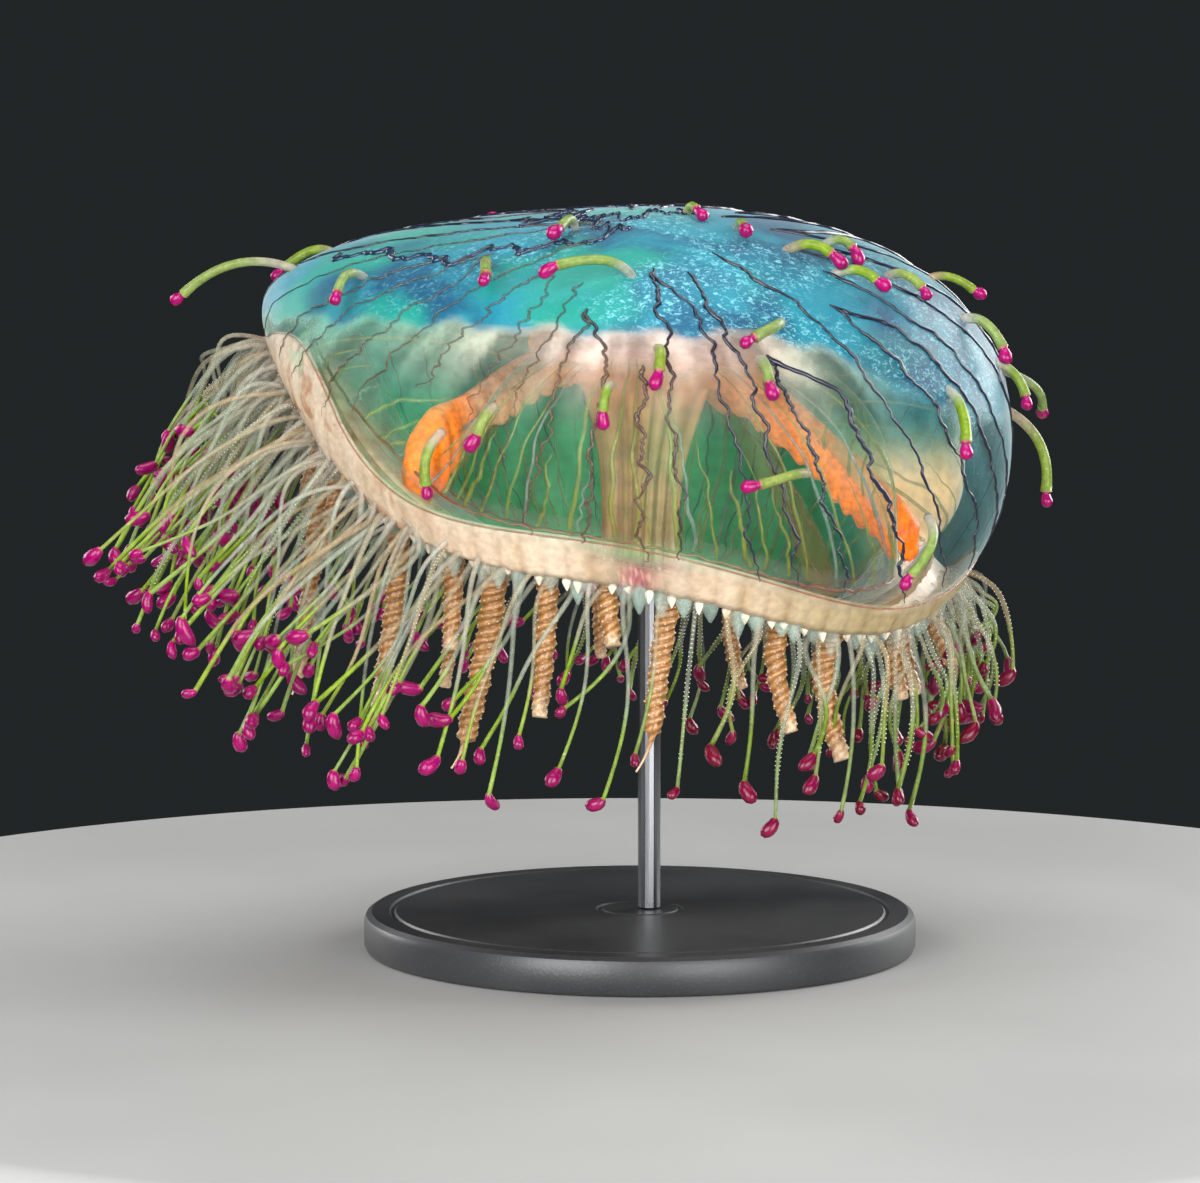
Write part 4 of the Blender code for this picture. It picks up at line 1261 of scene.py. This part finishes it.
def fine_tentacles():
    """The thin tentacles of the margin, and the white beads on some of them."""
    angle, stalks = fine_stalks()
    column = (len(angle), 1)
    low_side = smooth(cos(angle), -0.45, 0.3)[:, None]
    tint = blend(MAGENTA, CRIMSON, low_side * (0.6 + 0.4 * draw(column)))
    radius = 0.32 + 0.14 * draw(column) ** 2 + 0.03 * low_side
    form = (0.66 + 0.42 * draw(column), 0.85, 1.0, 0.5)
    alpha = (0.31 - 0.05 * low_side) * (0.6 + 0.8 * draw(column))
    lime_from, lime_depth = 0.72 - 0.16 * low_side, 0.85 - 0.35 * low_side
    mesh, bead_mesh = Mesh(), Mesh()
    stalks_with_bulbs(mesh, stalks, radius, form, tint, alpha, lime_from, lime_depth)
    mesh.piece("fine_tentacles", tentacle_material(), "margin")
    beaded = np.nonzero(draw(column) < 0.08 + 0.5 * low_side)[0]
    bead_rows(bead_mesh, stalks[beaded], radius[beaded], 0.62, 0.12, FINE_BEAD, 0.85)
    bead_mesh.piece("fine_beads", flesh_material("bead_white", 0.3, 900, 0.1, 0.1), "margin")


def short_stalks():
    """The lines of the short tentacles on the outer face."""
    degrees, share, length, heading = np.transpose(EXUMBRELLA_TENTACLES)
    angle, length, heading = radians(degrees), length[:, None], radians(heading)[:, None]
    root, normal = outer_point(angle, share), face_normal(outer_point, angle, share)
    down = unit(outer_point(angle, share + 0.02) - root)
    along = down * cos(heading) + np.cross(down, normal) * sin(heading)
    bend = root + normal * length * 0.42 + along * length * 0.28
    tip = root + normal * length * 0.3 + along * length * 0.85
    shares = linspace(0, 1, STALK_STEPS)
    path = bezier([root - normal * ROOT_DEPTH, bend, tip], shares)
    return path + tossed(len(length), sin(pi * shares)) * length[:, None] * 0.12


def short_tentacles():
    """The short tentacles of the outer face, with their beads."""
    stalks = short_stalks()
    column = (len(stalks), 1)
    radius = 0.54 + 0.14 * draw(column)
    form = (0.80 + 0.32 * draw(column), 0.86, 0.35, -0.05)
    mesh, bead_mesh = Mesh(), Mesh()
    stalks_with_bulbs(mesh, stalks, radius, form, SHORT_MAGENTA, 0.5, 0.12, 0.75)
    mesh.piece("short_tentacles", tentacle_material(), "umbrella")
    bead_rows(bead_mesh, stalks, radius * 0.95, 0.6, 0.10, SHORT_BEAD, 0.7)
    bead_mesh.piece("short_beads", flesh_material("bead_pale", 0.3, 900, 0.1, 0.1), "umbrella")


def primary_line(degrees, length, drift_x, drift_near, steps):
    """A thick tentacle's line from the ring's underside down."""
    angle, small = radians(degrees), 0.02
    lip, ring = ring_point(angle, *LIP_CORNERS[0]), ring_point(angle, *LIP_CORNERS[1])
    around = ring_point(angle + small, 2.4, 0) - ring_point(angle - small, 2.4, 0)
    normal = unit(np.cross(ring - lip, around))
    normal = normal if normal[2] < 0 else -normal
    root = between(lip, ring, 0.45) + normal * 0.1
    fall = np.array([drift_x, -drift_near, -length])
    bend = root + normal * min(5.0, length * 0.25)
    hang = bend + fall * (0.2, 0.2, 0.3)
    controls = [point[None] for point in (root, bend, hang, root + fall)]
    return bezier(controls, linspace(0, 1, steps))[0]


def with_tail(path, radius, steps, tail):
    """The path and its radii, cut after these steps and drawn out into a thin end."""
    path, radius = path[:steps], radius[:steps]
    more = linspace(0.4, tail, TAIL_STEPS)[:, None]
    end = path[-1] + unit(path[-1] - path[-2]) * more + np.array([-0.05, 0.0, 0.0]) * more**2
    thin = 0.16 + 0.5 * linspace(1, 0, TAIL_STEPS) ** 3
    return np.concatenate([path, end]), np.concatenate([radius, thin])


def coil_beads(mesh, place, travelled):
    """Adds beads along the ridge of each coil, at even distances down it."""
    where = arange(COIL_BEAD_SPACING, travelled[len(place) - 1], COIL_BEAD_SPACING)
    row = np.searchsorted(travelled[: len(place)], where).clip(0, len(place) - 1)
    for coil in range(COILS):
        side = np.round((where / COIL_PITCH + coil) / COILS * PRIMARY_SIDES).astype(int)
        sizes = 0.19 * (0.7 + 0.6 * draw(len(where)))
        beads(mesh, place[row, side % PRIMARY_SIDES], sizes, COIL_BEAD)


def primary_tentacles():
    """Thick tan tentacles, coiled like a cord, with cream beads along the coil."""
    mesh, bead_mesh = Mesh(), Mesh()
    turn = round_turn(PRIMARY_SIDES)
    for number, (degrees, length, thickness, drift_x, drift_near) in enumerate(PRIMARIES, 1):
        steps = int(length * COIL_RINGS)
        path = primary_line(degrees, length, drift_x, drift_near, steps)
        radius = PRIMARY_RADIUS * thickness * (0.84 - 0.26 * linspace(0, 1, steps) ** 3)
        if number in TAILS:
            steps = int(steps * (1 - TAIL_INSIDE * TAILS[number] / length))
            path, radius = with_tail(path, radius, steps, TAILS[number])
        travelled = distances(path)
        coiled = smooth(radius, 0.4, 0.9)
        # the middle of each ring winds a little round the path, and its ridges wind with it
        spoke = (travelled / COIL_PITCH / COILS * COIL_SPOKES).astype(int) % COIL_SPOKES
        middle = tube_points(path[None], 0.10 * radius * coiled, COIL_SPOKES)[0]
        middle = middle[arange(len(path)), spoke][:, None]
        winding = TURN * travelled[:, None] / COIL_PITCH
        ridge = 2 * np.abs(cos((COILS * turn - winding) / 2)) ** 0.7 - 1
        swell = 1 + 0.11 * ridge * coiled[:, None]
        ring = tube_points(path[None], radius, PRIMARY_SIDES)[0] - path[:, None]
        place = middle + ring * swell[..., None]
        # painted shade and light: dark brown in the coil's grooves, tan between, and paler tan on
        # its ridges
        tint = blend(COIL_GROOVE_SHADE, TAN, smooth(ridge, -0.9, 0.1))
        tint = blend(tint, COIL_CREST_LIGHT, smooth(ridge, 0.5, 0.98))
        pale = 0.5 * smooth(travelled / travelled[-1], 0.8, 1.0)[:, None]
        mesh.rings(place, blend(tint, CREAM, pale), 0.97)
        coil_beads(bead_mesh, place[: int(steps * 0.97)], travelled)
    names = [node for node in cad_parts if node.startswith("primary_")]
    flesh = flesh_material("primary_tan", 0.4, 1200, 0.2, 0.4)
    mesh.piece("primary_tentacles", flesh, "primary_tentacle", names)
    bead_flesh = flesh_material("bead_cream", 0.35, 900, 0.12, 0.1)
    bead_mesh.piece("primary_beads", bead_flesh, "primary_tentacle")


# The stand, the floor, the light and the camera


def stand():
    """The round base, turned with a soft edge and shallow grooves, and the steel rod."""
    mesh = Mesh()
    low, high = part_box("stand_base")
    radius, top = high.x / MM, high.z / MM
    profile = [(0.0, top), *((outward, top - down) for outward, down in BASE_GROOVE)]
    profile += [(radius - inward, top - down) for inward, down in BASE_EDGE]
    profile += [(radius - inward, up) for inward, up in BASE_FOOT] + [(0.0, 0.0)]
    mesh.rings(turned(profile, 144), (0.02, 0.02, 0.02), ends=False)
    body = mesh.piece("stand_disc", base_material(), "stand_base", ["stand_base"])
    edges = body.modifiers.new("edges", "EDGE_SPLIT")
    edges.split_angle = radians(28)
    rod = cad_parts["stand_rod"].data
    rod.materials.clear()
    rod.materials.append(rod_material())
    rod.shade_smooth()


def floor():
    """A plain pale round table top."""
    mesh = Mesh()
    mesh.rings(turned(FLOOR_PROFILE, 180), (1, 1, 1), ends=False)
    body = mesh.build("floor", floor_material())


def light(name, place, energy, size):
    """A soft square lamp that faces the bell."""
    data = bpy.data.lights.new(name, "AREA")
    data.energy = energy
    data.size = size
    lamp = linked(name, data)
    lamp.location = place
    x, y, z = np.subtract(place, LAMP_TARGET)
    lamp.rotation_euler = (np.arctan2(np.hypot(x, y), z), 0, np.arctan2(y, x) + pi / 2)


def studio():
    """A dark world and soft lamps."""
    world = bpy.data.worlds.new("studio")
    world.use_nodes = True
    world.node_tree.nodes["Background"].inputs["Color"].default_value = (0.016, 0.019, 0.020, 1)
    world.node_tree.nodes["Background"].inputs["Strength"].default_value = 1.0
    bpy.context.scene.world = world
    for lamp in LAMPS:
        light(*lamp)


def camera():
    """The camera, a little above the bell's middle and level with its near side."""
    data = bpy.data.cameras.new("camera")
    data.lens = CAMERA_LENS
    data.sensor_width = 36
    view = linked("camera", data)
    back = np.array([0, -cos(CAMERA_ELEVATION), sin(CAMERA_ELEVATION)])
    view.location = (CAMERA_AIM + back * CAMERA_DISTANCE) * MM
    view.rotation_euler = (pi / 2 - CAMERA_ELEVATION, 0, 0)
    bpy.context.scene.camera = view


camera()
umbrella()
nettle_ring()
ring_lines()
meridians()
inner_canals()
manubrium()
stomach_threads()
gonads()
fine_tentacles()
short_tentacles()
primary_tentacles()
stand()
floor()
studio()
bpy.context.scene.view_settings.view_transform = "Standard"
